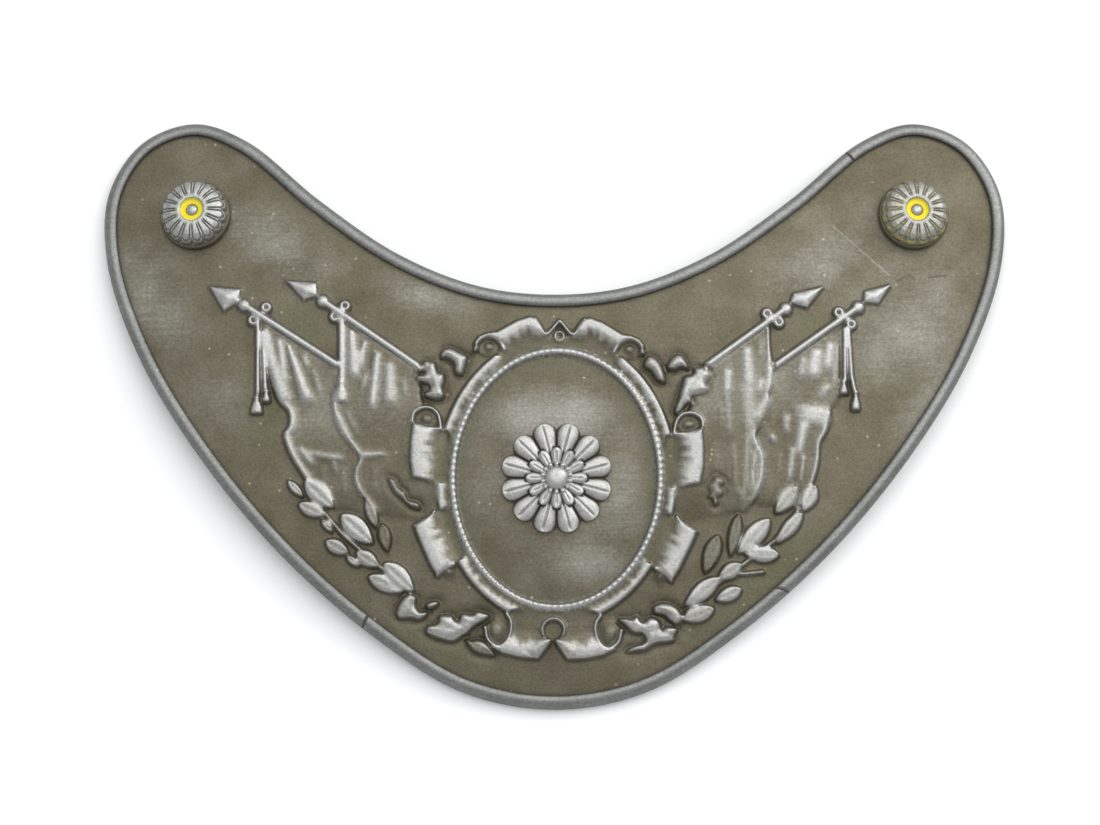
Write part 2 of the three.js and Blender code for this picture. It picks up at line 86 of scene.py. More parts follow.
def linear(hex_colour):
    """An sRGB hex colour as the linear values that Blender's sockets take."""
    channels = [int(hex_colour[i:i + 2], 16) / 255 for i in (1, 3, 5)]
    return [c / 12.92 if c <= 0.04045 else ((c + 0.055) / 1.055) ** 2.4 for c in channels] + [1.0]


def add_node(tree, kind, inputs=(), **settings):
    """Adds a node: settings are its properties, and an input takes a value or another node's output."""
    made = tree.nodes.new(kind)
    for name, value in settings.items():
        setattr(made, name, value)
    for key, value in dict(inputs).items():
        if isinstance(value, bpy.types.NodeSocket):
            tree.links.new(value, made.inputs[key])
        else:
            made.inputs[key].default_value = value
    return made


def new_object(name, data):
    made = bpy.data.objects.new(name, data)
    scene.collection.objects.link(made)
    return made


def aim(thing, place, target):
    thing.location = place
    thing.rotation_mode = "QUATERNION"
    thing.rotation_quaternion = (Vector(target) - Vector(place)).to_track_quat("-Z", "Y")


def soft_panel(name, place, target, size, power):
    light = bpy.data.lights.new(name, "AREA")
    light.shape = "RECTANGLE"
    light.size, light.size_y = size
    light.energy = power
    aim(new_object(name, light), place, target)


target = Vector(VIEW_TARGET) * MM
elevation = math.radians(VIEW_ELEVATION)
camera = new_object("camera", bpy.data.cameras.new("camera"))
camera.data.sensor_width = SENSOR_WIDTH
camera.data.lens = SENSOR_WIDTH * VIEW_DISTANCE / FIELD_WIDTH
aim(camera, target + VIEW_DISTANCE * MM * Vector((0, -math.cos(elevation), math.sin(elevation))), target)
scene.camera = camera

soft_panel("overhead_panel", (0.2, 0.5, 1.2), (0, 0, 0), (1.8, 1.8), 16)
soft_panel("side_panel", (0.9, 0.55, 0.55), (0, 0, 0), (0.6, 0.6), 4)
world = bpy.data.worlds.new("studio")
scene.world = world
world.use_nodes = True
world.node_tree.nodes["Background"].inputs["Color"].default_value = linear("#f4f6f8")
world.node_tree.nodes["Background"].inputs["Strength"].default_value = 0.7

floor_mesh = bpy.data.meshes.new("floor")
half = FLOOR_SIZE / 2 * MM
floor_corners = [(-half, -half, 0), (half, -half, 0), (half, half, 0), (-half, half, 0)]
floor_mesh.from_pydata(floor_corners, [], [(0, 1, 2, 3)])
floor = new_object("floor", floor_mesh)
floor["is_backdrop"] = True
paper = bpy.data.materials.new("white card, matt")
paper.use_nodes = True
paper.node_tree.nodes["Principled BSDF"].inputs["Base Color"].default_value = linear("#f6f6f6")
paper.node_tree.nodes["Principled BSDF"].inputs["Roughness"].default_value = 0.9
floor_mesh.materials.append(paper)
print("camera lens, mm:", round(camera.data.lens, 1))

# %% [markdown]
# ## The bowed sheet and its outline
# The sheet is bowed gently across and more along, so that it follows the chest. Both bows are long-radius
# arcs, so two formulas are enough. The outline is drawn for the right half only: a smooth curve through a
# few points, mirrored for the left half.

# %% Sheet and outline
CROWN_Y = 14.0
CROWN_HEIGHT = 11.536
FRAME_SHIFT = -1.515
BOW_RADIUS_ACROSS = 660.0
BOW_RADIUS_ALONG = 295.0
SHEET_THICKNESS = 1.0
PLATE_INSET = 1.2
RIM_WIDTH = 2.8
EDGE_SPACING = 0.8
HALF_OUTLINE = [
    (0, 25.3), (16, 27.2), (33, 34.3), (50, 46.5), (66, 60.3), (77.4, 64.6), (88.5, 60.6), (95.4, 49.5),
    (95.4, 34), (88, 13), (75, -8.2), (58, -28.6), (38.2, -46), (19.3, -57.7), (0, -61.3),
]


def sheet(x, y):
    """Height of the sheet's face over its crown."""
    return -x ** 2 / (2 * BOW_RADIUS_ACROSS) - (y - CROWN_Y) ** 2 / (2 * BOW_RADIUS_ALONG)


def sheet_normal(x, y):
    return Vector((x / BOW_RADIUS_ACROSS, (y - CROWN_Y) / BOW_RADIUS_ALONG, 1)).normalized()


def spline(points, closed=False, per_span=10):
    """A smooth curve through the points, spaced so that it makes no loops at short spans."""
    p = np.asarray(points, float)
    ends = (p[-1:], p[:2]) if closed else (2 * p[:1] - p[1:2], 2 * p[-1:] - p[-2:-1])
    p = np.vstack([ends[0], p, ends[1]])
    share = np.linspace(0, 1, per_span, endpoint=False)[:, None]
    curve = []
    for p0, p1, p2, p3 in zip(p, p[1:], p[2:], p[3:]):
        d0, d1, d2 = (math.sqrt(math.dist(a, b)) for a, b in ((p0, p1), (p1, p2), (p2, p3)))
        out = ((p1 - p0) / d0 - (p2 - p0) / (d0 + d1) + (p2 - p1) / d1) * d1
        back = ((p2 - p1) / d1 - (p3 - p1) / (d1 + d2) + (p3 - p2) / d2) * d1
        curve.append(p1 + share * out + share ** 2 * (3 * (p2 - p1) - 2 * out - back)
                     + share ** 3 * (2 * (p1 - p2) + out + back))
    return np.vstack(curve if closed else [*curve, p[-2:-1]])


def evenly(curve, spacing):
    """Points at equal steps along a closed curve, with the direction of travel at each."""
    loop = np.vstack([curve, curve[:1]])
    run = np.concatenate([[0], np.cumsum(np.hypot(*np.diff(loop, axis=0).T))])
    steps = np.linspace(0, run[-1], round(run[-1] / spacing), endpoint=False)
    points = np.column_stack([np.interp(steps, run, loop[:, k]) for k in (0, 1)])
    travel = np.roll(points, -1, axis=0) - np.roll(points, 1, axis=0)
    return points, travel / np.hypot(*travel.T)[:, None], steps


mirrored_half = [(-x, y) for x, y in HALF_OUTLINE[-2:0:-1]]
outline_curve = spline(HALF_OUTLINE + mirrored_half, closed=True, per_span=40)
edge, edge_travel, edge_run = evenly(outline_curve, EDGE_SPACING)
edge_inward = np.column_stack([edge_travel[:, 1], -edge_travel[:, 0]])
print("edge length, mm:", round(edge_run[-1]))


def to_frame(x, y, up):
    """Drawing places and heights over the sheet, as points in the frame, in metres."""
    return np.column_stack([x, np.add(y, FRAME_SHIFT), sheet(x, y) + up + CROWN_HEIGHT]) * MM


# %% [markdown]
# ## A drawing board for the relief
# The ornament has no undercuts, so it is a height at each place on the sheet: a relief drawing. A fine
# board of heights is easy to draw on with distances. A bar is a rounded height near a line, a leaf is a
# pillow near its midrib, and cloth is a pad with ridges. Later pads are laid over earlier ones, as in the
# die. Each tool draws on a second board too: how far the brown patina is rubbed off that form, from 0 to
# 1.

# %% Board and drawing tools
STEP = 0.2
BOARD_LOW = np.array([-96.0, -62.0])
BOARD_HIGH = np.array([96.0, 66.0])
X, Y = np.meshgrid(*(np.arange(low, high, STEP) for low, high in zip(BOARD_LOW, BOARD_HIGH)), indexing="ij")
relief = np.zeros_like(X)
rubbed = np.zeros_like(X)


def window(points, margin):
    """The part of the board round some points."""
    low = np.floor((np.min(points, axis=0) - margin - BOARD_LOW) / STEP).astype(int)
    high = np.ceil((np.max(points, axis=0) + margin - BOARD_LOW) / STEP).astype(int)
    return np.s_[max(low[0], 0):max(high[0], 0), max(low[1], 0):max(high[1], 0)]


def ease(low, high, value):
    """0 below low and 1 above high, with a smooth step between."""
    share = np.clip((value - low) / (high - low), 0, 1)
    return share * share * (3 - 2 * share)


def beside(at, start, end):
    """Distance along a line from its start, and distance to its left."""
    run_x, run_y = end[0] - start[0], end[1] - start[1]
    length = math.hypot(run_x, run_y)
    dx, dy = at[0] - start[0], at[1] - start[1]
    return (dx * run_x + dy * run_y) / length, (run_x * dy - run_y * dx) / length


def line_distance(at, points):
    nearest = np.full(at[0].shape, np.inf)
    for start, end in zip(points, points[1:]):
        along, side = beside(at, start, end)
        past = along - np.clip(along, 0, math.dist(start, end))
        nearest = np.minimum(nearest, np.hypot(past, side))
    return nearest


def depth_inside(at, points):
    """Distance in from a closed outline, negative outside it."""
    loop = [*points, points[0]]
    inside = np.zeros(at[0].shape, bool)
    for (ax, ay), (bx, by) in zip(loop, loop[1:]):
        crosses = (ay > at[1]) != (by > at[1])
        inside ^= crosses & (at[0] < (bx - ax) * (at[1] - ay) / ((by - ay) or 1e-9) + ax)
    return np.where(inside, 1, -1) * line_distance(at, loop)


def rounded(distance, half, rise):
    """A round-edged height over a line."""
    return rise * np.sqrt(np.clip(1 - np.abs(distance / half) ** 3, 0, 1))


def raise_to(where, height, shine):
    higher = height > np.maximum(relief[where], 0)
    relief[where] = np.where(higher, height, relief[where])
    rubbed[where] = np.where(higher, shine, rubbed[where])


def lay_over(where, cover, height, shine):
    relief[where] += cover * (height - relief[where])
    rubbed[where] += cover * (shine - rubbed[where])


def bar(points, half, rise, shine):
    where = window(points, half)
    raise_to(where, rounded(line_distance((X[where], Y[where]), points), half, rise), shine)


def knob(x, y, radius, rise, shine):
    where = window([(x, y)], radius)
    raise_to(where, rounded(np.hypot(X[where] - x, Y[where] - y), radius, rise), shine)


def ring(x, y, radius, half, rise, shine):
    where = window([(x, y)], radius + half)
    raise_to(where, rounded(np.hypot(X[where] - x, Y[where] - y) - radius, half, rise), shine)


MOAT = {"off": 0.35, "half": 0.4, "depth": 0.45, "unrubbed": 0.8}


def pad(outline, rise, shine):
    """A pillow inside a smooth closed outline, with a shallow moat round it."""
    curve = spline(outline, closed=True, per_span=4)
    where = window(curve, 1)
    depth = depth_inside((X[where], Y[where]), curve)
    moat = np.exp(-((depth + MOAT["off"]) / MOAT["half"]) ** 2)
    relief[where] -= MOAT["depth"] * moat
    rubbed[where] *= 1 - MOAT["unrubbed"] * moat
    lay_over(where, ease(-0.1, 0.35, depth), rise * (0.65 + 0.35 * ease(0, 1.3, depth)), shine)


print("board nodes:", X.shape)

# %% [markdown]
# ## Flags
# Two flags hang from crossed poles on each side. Each cloth is a pad with a rounded edge, and its folds
# are broad ridges with blunt ends, rubbed bright along their tops. Poles, loops, cords and tassels stand
# on it.

# %% Flag tables
# A flag's outer and inner edges run from the pole to the hem. A fold has from x, y, to x, y, its half
# width at each end, and its strength.
FLAGS = [
    {"rise": 0.8, "lip": (4.0, 0.85), "pole": [(-65.5, 23.4), (-45.8, 10.4)],
     "spear": [(-73.3, 27.9), (-66.2, 27.1), (-66.5, 24.2), (-69.9, 22.1)],
     "loops": [(-60.8, 22.8), (-63.5, 20.1)],
     "cords": [[(-62.5, 20.2), (-62.3, 4.4)], [(-61.5, 17.5), (-60.7, 5.2)]],
     "tassels": [(-62.5, 3.4, 3.4, 1.45), (-60.5, 4.8, 2.4, 1.0)],
     "outer": [(-62.0, 20.4), (-61.7, 15), (-61.0, 10.5), (-60.0, 7.2), (-58, 2.4), (-56.2, 0.4),
               (-56, -2.2),
               (-57.1, -4.1), (-56, -8), (-54.4, -10.9), (-52.7, -13.5), (-50.5, -17), (-48.5, -19.5)],
     "inner": [(-45.5, 10), (-44, 4), (-43.5, -2), (-41, -8), (-40, -14), (-40, -21)],
     "folds": [(-61.0, 18.6, -59.2, 9.0, 0.7, 1.5, 0.95), (-59.2, 10.5, -56.6, 2.0, 1.5, 2.0, 0.95),
               (-58.0, 16.2, -56.6, 6.0, 0.9, 1.0, 0.9), (-56.3, 15.2, -51.7, 2.4, 0.5, 1.4, 1.0),
               (-52.7, 12.6, -51.8, 9.4, 0.7, 0.5, 0.65), (-50.6, 9.6, -49.2, 4.0, 0.5, 0.6, 0.4),
               (-55.2, 1.5, -54.6, -2.2, 1.2, 0.6, 0.6), (-53.6, -7.0, -50.4, -11.0, 0.8, 1.0, 0.9),
               (-53.6, -8.2, -43.8, -9.4, 0.9, 0.8, 0.75), (-46.4, -9.0, -45.6, -13.0, 0.6, 0.4, 0.5),
               (-48.4, -11.0, -48.0, -17.0, 0.4, 0.4, 0.3), (-44.2, -11.0, -43.9, -17.0, 0.5, 0.4, 0.3)]},
    {"rise": 1.1, "lip": (6.0, 0.5), "pole": [(-48.8, 24.0), (-27.9, 9.3)],
     "spear": [(-57.0, 28.8), (-50.1, 28.2), (-49.8, 25.2), (-52.9, 24.2)],
     "loops": [(-44.1, 22.9), (-46.2, 20.6)],
     "cords": [[(-45.0, 20.5), (-44.8, 7.0)], [(-44.5, 20.0), (-44.6, 7.0)]],
     "tassels": [(-44.8, 6.4, 4.1, 1.3)],
     "outer": [(-45.9, 20.8), (-45.4, 10.4), (-46.4, 5.5), (-46.7, 2.3), (-46.2, -1), (-44.9, -4.2),
               (-42.2, -7.5), (-41.1, -9.5), (-41.9, -11.8), (-42, -14), (-41.2, -16.3), (-39.5, -18.5),
               (-37, -21)],
     "inner": [(-28.2, 9.2), (-27, 0), (-24, -10), (-22, -18), (-22, -24)],
     "folds": [(-42.8, 18.0, -42.4, 12.0, 0.7, 1.2, 1.0), (-42.2, 13.5, -42.0, 7.2, 1.6, 1.3, 1.0),
               (-39.8, 15.4, -41.0, 9.0, 0.6, 0.9, 0.9), (-39.2, 8.6, -40.4, 4.4, 0.6, 0.5, 0.6),
               (-37.1, 13.0, -38.3, 0.6, 0.8, 1.0, 1.0), (-34.7, 10.8, -34.4, 1.4, 1.1, 1.6, 0.8),
               (-31.6, 7.2, -31.2, 3.4, 0.6, 0.6, 0.4), (-41.2, -9.0, -35.2, -8.6, 0.9, 0.5, 0.9),
               (-45.8, 0.5, -42.4, -6.6, 0.5, 0.7, 0.7), (-43.4, 0.4, -41.0, -5.0, 0.5, 0.5, 0.3),
               (-37.6, -11, -37.4, -17, 0.5, 0.5, 0.25)]},
    {"rise": 1.1, "lip": (-2.0, 0.8), "pole": [(48.7, 22.3), (32.0, 10.0)],
     "spear": [(57.2, 27.6), (50.2, 25.9), (49.4, 23.6), (53.3, 22.5)],
     "loops": [(44.7, 21.2), (47.2, 19.4)],
     "cords": [],
     "tassels": [],
     "outer": [(45.4, 19.2), (45.6, 13.6), (46.4, 9), (46.3, 6), (45.2, 4), (45.8, 1.5), (45.6, -0.9),
               (43.5, -2.9), (42.5, -4.5), (43, -6.4), (44.1, -8.7), (44.2, -12), (43.6, -15.2),
               (42.2, -18.1), (40, -20.5)],
     "inner": [(31.8, 9.6), (29, 4), (26.5, -4), (24, -12), (22, -18), (22, -24)],
     "folds": [(40.3, 14.2, 40.8, 5.0, 1.0, 1.4, 0.8), (40.6, 6.5, 40.9, -4.5, 1.5, 1.2, 0.5),
               (43.5, 16.0, 43.3, 11.6, 0.5, 0.5, 0.5), (43.4, 7.4, 42.8, 3.8, 0.7, 0.6, 0.85),
               (44.9, 18.4, 45.2, 9.0, 0.4, 0.9, 0.95), (45.3, 10.0, 44.6, 1.4, 0.9, 0.8, 0.95),
               (44.8, 3.6, 41.8, -2.0, 0.8, 1.4, 0.75), (36.3, 9.4, 36.1, 3.4, 1.0, 0.9, 0.85),
               (36.1, 4.0, 36.8, -5.0, 0.6, 0.6, 0.4), (34.6, 2.4, 35.4, -4.0, 0.5, 0.5, 0.25),
               (40.5, -3.5, 39.6, -19.0, 0.6, 0.5, 0.55), (41.9, -7.6, 41.0, -17.4, 0.5, 0.4, 0.8),
               (38.9, -16.0, 40.0, -20.6, 0.6, 1.0, 0.6), (37.4, -6.0, 38.2, -18.0, 0.5, 0.4, 0.35),
               (33.8, -6.0, 33.9, -12.0, 0.5, 0.4, 0.2)]},
    {"rise": 0.8, "lip": (-1.0, 0.6), "pole": [(64.1, 22.9), (46.5, 10.2)],
     "spear": [(71.6, 28.4), (65.3, 26.6), (65.1, 24.0), (68.5, 23.7)],
     "loops": [(59.9, 21.7), (62.5, 19.2)],
     "cords": [[(61.1, 18.2), (61.0, 7.0)], [(61.9, 17.8), (62.4, 8.0), (63.1, 4.6)]],
     "tassels": [(60.7, 6.9, 2.8, 1.05), (63.2, 4.6, 3.9, 1.1)],
     "outer": [(60.9, 19.3), (60.5, 11), (59.8, 3.1), (58.3, 1.2), (58.4, -1), (57.2, -4), (56, -6),
               (55.6, -10.2), (54.7, -13.4), (53.5, -16.5), (51, -20)],
     "inner": [(46.5, 10), (45, 5), (44, -1), (42, -6), (43, -12), (42, -19)],
     "folds": [(57.9, 15.4, 57.3, 9.0, 0.9, 1.0, 1.0), (55.0, 14.0, 54.3, 7.2, 1.3, 1.6, 1.0),
               (52.4, 12.2, 51.6, 7.2, 0.7, 0.9, 0.7), (59.4, 15.0, 58.8, 6.0, 0.5, 0.7, 0.55),
               (57.6, 6.4, 55.4, 3.4, 1.0, 1.0, 0.6), (54.6, 1.8, 54.0, -2.6, 3.9, 3.3, 0.85),
               (52.4, -1.5, 50.9, -9.0, 1.4, 1.0, 0.95), (57.7, 1.0, 55.4, -7.5, 0.6, 0.6, 0.9),
               (50.0, -7.0, 49.0, -14.6, 0.9, 0.8, 0.8), (52.2, -8.6, 51.4, -14.9, 0.5, 0.5, 0.75),
               (55.2, -8.0, 54.2, -15.4, 0.7, 0.9, 0.95), (48.6, 0.0, 48.6, -4.4, 0.9, 0.9, 0.75),
               (45.2, -4.2, 46.2, -6.6, 0.7, 0.6, 0.85), (47.4, -8.0, 46.9, -13.0, 0.5, 0.4, 0.35)]},
]
POLE = {"half": 0.9, "rise": 1.85, "shine": 1.0}
CORD = {"half": 0.58, "rise": 1.6, "shine": 0.95}
LOOP = {"radius": 0.75, "half": 0.58, "rise": 1.6, "shine": 0.85}
COLLAR = {"radius": 1.5, "rise": 1.9, "shine": 1.0}
TASSEL = {"rise": 1.9, "strand": 0.6, "shine": 0.85}
SPEAR = {"edge": 0.9, "slope": 0.42, "ridge": 1.9, "shine": 1.0}
FOLD_RISE = 0.65
HEM = (-24.0, -15.0)

# %% Draw the flags


def cloth(flag):
    outer = spline(flag["outer"])
    outline = [*outer, *spline(flag["inner"])[::-1]]
    where = window(outline, 1)
    at = X[where], Y[where]
    depth = depth_inside(at, outline)
    lip_start, lip_half = flag["lip"]
    lip = np.exp(-((line_distance(at, outer) - lip_half) / lip_half) ** 2)
    ridge = lip * ease(lip_start, lip_start - 3, at[1])
    for x0, y0, x1, y1, half_start, half_end, strength in flag["folds"]:
        length = math.dist((x0, y0), (x1, y1))
        along, side = beside(at, (x0, y0), (x1, y1))
        half = half_start + (half_end - half_start) * np.clip(along / length, 0, 1)
        ends = ease(-0.5, 0.9, along) * (1 - ease(length - 1.8, length + 0.8, along))
        ridge = np.maximum(ridge, strength * ends * (1 - ease(0.2, 1.45, np.abs(side) / half)))
    cover = ease(-0.1, 0.35, depth) * ease(*HEM, at[1])
    height = flag["rise"] * (0.6 + 0.4 * ease(0, 1.0, depth)) + FOLD_RISE * ridge
    lay_over(where, cover, height, 0.1 + 0.12 * ease(-12, 2, at[1]) + 0.64 * ridge)


def spear_head(corners):
    where = window(corners, 1)
    depth = depth_inside((X[where], Y[where]), corners)
    roof = np.minimum(SPEAR["edge"] + SPEAR["slope"] * np.maximum(depth, 0), SPEAR["ridge"])
    lay_over(where, ease(-0.15, 0.25, depth), roof, SPEAR["shine"])


def tassel(x, y, length, half):
    where = window([(x, y), (x, y - length)], 2)
    share, side = (y - Y[where]) / length, X[where] - x
    width = half * (0.5 + 0.5 * ease(0, 0.7, share))
    strands = 0.08 * np.cos(2 * np.pi * side / TASSEL["strand"])
    body = TASSEL["rise"] - 0.5 * (side / width) ** 2 + strands
    cover = ease(0, 0.3, width - np.abs(side)) * ease(0.05, 0.2, share) * (1 - ease(0.94, 1.02, share))
    lay_over(where, cover, body, TASSEL["shine"])
    knob(x, y, 0.75, 1.85, TASSEL["shine"])


def furniture(flag):
    for cord in flag["cords"]:
        bar(cord, **CORD)
    for row in flag["tassels"]:
        tassel(*row)
    for loop in flag["loops"]:
        ring(*loop, **LOOP)
    bar(flag["pole"], **POLE)
    spear_head(flag["spear"])
    knob(*flag["pole"][0], **COLLAR)


for flag in (FLAGS[0], FLAGS[3], FLAGS[1], FLAGS[2]):
    cloth(flag)
    furniture(flag)
print("flags drawn, highest, mm:", round(relief.max(), 2))

# %% [markdown]
# ## Wreath
# Laurel leaves climb each side from oak leaves at the foot. A laurel leaf is a pointed pillow with a cut
# midrib and fine veins beside it. Oak leaves have no simple formula, so their lobed outlines are listed.

# %% Wreath tables
# Columns: tip x, tip y, base x, base y, half width, how far it is rubbed
LAUREL_LEAVES = [
    (-55.9, -13.9, -52.4, -17.6, 1.1, 0.85), (-53.6, -18.8, -47.8, -21.5, 1.7, 0.75),
    (-52.2, -14.0, -46.0, -19.8, 2.3, 0.85),
    (-48.7, -22.0, -46.2, -25.0, 1.0, 0.7), (-39.3, -17.8, -37, -24.2, 1.4, 0.5),
    (-44.6, -21.1, -37.8, -27.3, 2.4, 0.85),
    (-36.0, -23.0, -34.8, -29.0, 1.5, 0.2), (-47.9, -26.6, -42.8, -29.3, 1.7, 0.7),
    (-43.5, -29.7, -40.4, -32.1, 1.0, 0.75),
    (-41.4, -28.9, -36.5, -32.0, 1.8, 0.75), (-38.9, -33.9, -31.4, -37.3, 1.9, 0.75),
    (-35.6, -31.2, -29.2, -37.2, 2.3, 0.9),
    (54.6, -14.9, 51.8, -20.6, 1.9, 0.85), (51.9, -20.6, 46.2, -27.2, 1.7, 0.75),
    (50.8, -15.2, 46.0, -21.0, 2.0, 0.75),
    (38.5, -21.0, 36.6, -30.0, 1.5, 0.3), (45.0, -22.0, 38.1, -29.3, 2.2, 0.85),
    (47.0, -29.5, 39.4, -29.2, 1.9, 0.85),
    (34.2, -25.4, 31.2, -33.5, 1.9, 0.3), (39.0, -31.4, 34.0, -34.6, 1.8, 0.75),
    (39.1, -36.5, 33.4, -39.0, 1.7, 0.8),
    (34.4, -34.2, 27.0, -40.2, 2.0, 0.9), (33.4, -40.6, 26.4, -43.0, 1.9, 0.75),
]
STEMS = [[(-50, -18.5), (-44, -25.5), (-37, -31.5), (-30, -37.5)],
         [(51, -20), (46, -26.5), (40, -31), (32, -37), (27, -42)],
         [(38.8, -33.5), (43.5, -33.0)]]
OAK_LEAVES = [
    {"shine": 0.85, "outline": [
        (-24.1, -42.2), (-22.8, -41.9), (-21.3, -42.1), (-20.7, -43.0), (-20.0, -43.2), (-19.7, -42.0),
        (-18.9, -41.6), (-17.8, -41.8), (-17.1, -41.9), (-16.3, -41.2), (-15.2, -41.3), (-13.4, -42.2),
        (-14.8, -43.4), (-16.8, -44.6), (-18.0, -45.8), (-19.4, -46.6), (-21.0, -47.5), (-22.6, -47.4),
        (-25.0, -46.6), (-26.8, -45.7), (-26.6, -44.2), (-25.4, -43.9), (-24.4, -43.6)],
     "ribs": [[(-26.0, -45.4), (-20.0, -44.2), (-15.0, -42.2)], [(-22.5, -46.8), (-18.5, -45.0)]]},
    {"shine": 0.7, "outline": [
        (-30.4, -37.6), (-32.0, -38.8), (-33.1, -41.4), (-32.6, -42.7), (-30.0, -42.7), (-28.2, -43.1),
        (-26.6, -42.2), (-26.3, -41.2), (-28.0, -41.2), (-28.8, -40.0), (-28.8, -38.2)],
     "ribs": [[(-29.6, -38.4), (-30.4, -41.8)]]},
    {"shine": 0.8, "outline": [
        (-26.8, -39.7), (-25.4, -39.1), (-24.0, -39.3), (-24.6, -40.3), (-26.5, -40.8)], "ribs": []},
    {"shine": 0.5, "outline": [
        (-18.6, -46.8), (-17.4, -47.2), (-16.0, -47.0), (-14.6, -47.4), (-13.2, -48.8), (-12.3, -50.4),
        (-14.2, -50.3), (-16.4, -49.8), (-17.8, -48.6)], "ribs": [[(-17.6, -47.6), (-13.4, -49.8)]]},
    {"shine": 0.75, "outline": [
        (-27.7, 10.3), (-27.2, 11.0), (-26.2, 10.9), (-25.0, 10.6), (-24.6, 9.4), (-24.3, 8.5), (-23.2, 8.3),
        (-22.9, 6.6), (-23.3, 5.0), (-22.9, 3.6), (-23.6, 2.7), (-24.6, 2.6), (-26.2, 3.0), (-27.2, 3.4),
        (-27.3, 4.2), (-26.3, 4.7), (-26.4, 5.8), (-27.4, 6.1), (-28.9, 7.0), (-28.7, 7.8), (-27.4, 8.2),
        (-27.2, 9.0)],
     "ribs": [[(-26.4, 10.2), (-25.6, 6.5), (-24.2, 3.0)]]},
    {"shine": 0.45, "outline": [
        (-34.8, -13.6), (-33.4, -14.0), (-32.6, -15.6), (-31.2, -16.6), (-30.6, -18.2), (-28.4, -18.8),
        (-28.0, -20.2), (-30.0, -19.8), (-31.8, -18.2), (-33.6, -16.6)], "ribs": []},
    {"shine": 0.75, "outline": [
        (-23.9, 11.4), (-23.6, 13.2), (-22.0, 13.8), (-20.2, 13.0), (-18.2, 11.8), (-18.4, 10.2),
        (-19.4, 7.8), (-20.9, 8.4), (-21.2, 10.4), (-22.6, 11.4)], "ribs": []},
    {"shine": 0.85, "outline": [
        (13.2, -42.9), (14.8, -42.6), (15.9, -42.8), (17.2, -42.1), (18.0, -43.1), (18.5, -43.4),
        (19.3, -42.7),
        (20.5, -42.4), (21.7, -43.0), (22.2, -44.0), (22.4, -44.9), (23.3, -44.3), (25.3, -44.4),
        (25.8, -45.2), (25.1, -46.2), (25.0, -47.3), (23.4, -47.7), (21.5, -47.9), (20.2, -48.4),
        (18.8, -49.3), (17.0, -49.5), (14.8, -49.6), (16.3, -48.4), (18.2, -47.8), (18.9, -47.2),
        (18.3, -46.0), (16.4, -45.8), (14.6, -44.2)],
     "ribs": [[(14.2, -43.2), (19.0, -45.2), (24.6, -46.0)]]},
    {"shine": 0.75, "outline": [
        (20.4, -40.4), (22.0, -39.5), (24.0, -39.6), (25.2, -40.2), (26.4, -41.5), (26.8, -43.0),
        (25.4, -44.1),
        (24.0, -43.4), (22.8, -42.2), (20.9, -41.8)], "ribs": [[(21.4, -40.8), (25.2, -42.4)]]},
    {"shine": 0.8, "outline": [
        (31.5, 9.6), (32.6, 8.6), (32.6, 7.2), (31.7, 6.2), (32.2, 5.2), (31.6, 4.1), (30.2, 3.8),
        (28.8, 3.2),
        (28.8, 2.1), (27.6, 1.6), (26.6, 0.3), (25.2, -0.4), (25.2, 1.2), (25.9, 3.0), (26.1, 4.2),
        (26.6, 5.8),
        (27.1, 7.6), (28.2, 7.9), (29.0, 8.3), (29.2, 9.4), (30.4, 9.7)],
     "ribs": [[(31.2, 8.8), (28.6, 4.8), (25.8, 0.6)]]},
    {"shine": 0.75, "outline": [
        (23.5, 9.4), (24.4, 11.5), (26.2, 12.4), (27.4, 11.3), (28.1, 9.2), (26.4, 9.4), (25.0, 8.8)],
        "ribs": []},
    {"shine": 0.65, "outline": [
        (18.6, 9.8), (19.6, 12.0), (21.4, 11.4), (23.0, 8.6), (23.2, 6.2), (21.6, 6.6), (20.2, 8.6)],
        "ribs": []},
    {"shine": 0.4, "outline": [
        (33.4, -13.2), (34.9, -13.6), (35.6, -14.8), (34.6, -15.5), (35.3, -16.4), (34.8, -17.5),
        (33.9, -17.7), (34.3, -18.8), (33.3, -19.5), (32.9, -18.2), (31.9, -17.6), (32.5, -16.5),
        (31.8, -15.4), (32.6, -14.6)], "ribs": []},
]
LAUREL = {"rise": 1.55, "veins": 2.2}
OAK_RISE = 2.0
STEM = {"half": 0.5, "rise": 1.1, "shine": 0.45}
MIDRIB = {"half": 0.22, "depth": 0.3}

# %% Draw the wreath


def cut(points, half, depth):
    where = window(points, 1)
    groove = np.exp(-(line_distance((X[where], Y[where]), points) / half) ** 2)
    relief[where] -= depth * groove
    rubbed[where] *= 1 - 0.55 * groove


def laurel_leaf(tip_x, tip_y, base_x, base_y, half_width, shine):
    tip, base = (tip_x, tip_y), (base_x, base_y)
    where = window([tip, base], half_width + 1)
    along, side = beside((X[where], Y[where]), tip, base)
    share = np.clip(along / math.dist(tip, base), 0, 1)
    width = half_width * np.sin(np.pi * share ** 0.85) ** 0.7
    across = np.clip(np.abs(side) / (width + 0.01), 0, 1)
    veins = np.cos(2 * np.pi * LAUREL["veins"] * across)
    height = LAUREL["rise"] * (0.6 + 0.4 * np.sqrt(1 - across ** 2)) + 0.05 * veins
    bright = shine * (0.92 + 0.12 * across + 0.1 * veins)
    lay_over(where, ease(-0.05, 0.3, width - np.abs(side)), height, bright)
    middle = [(tip_x + (base_x - tip_x) * k, tip_y + (base_y - tip_y) * k) for k in (0.15, 0.95)]
    cut(middle, **MIDRIB)


for points in STEMS:
    bar(points, **STEM)
for row in OAK_LEAVES:
    pad(row["outline"], OAK_RISE, row["shine"])
    for rib in row["ribs"]:
        cut(rib, **MIDRIB)
for row in LAUREL_LEAVES:
    laurel_leaf(*row)
print("leaves drawn:", len(LAUREL_LEAVES) + len(OAK_LEAVES))

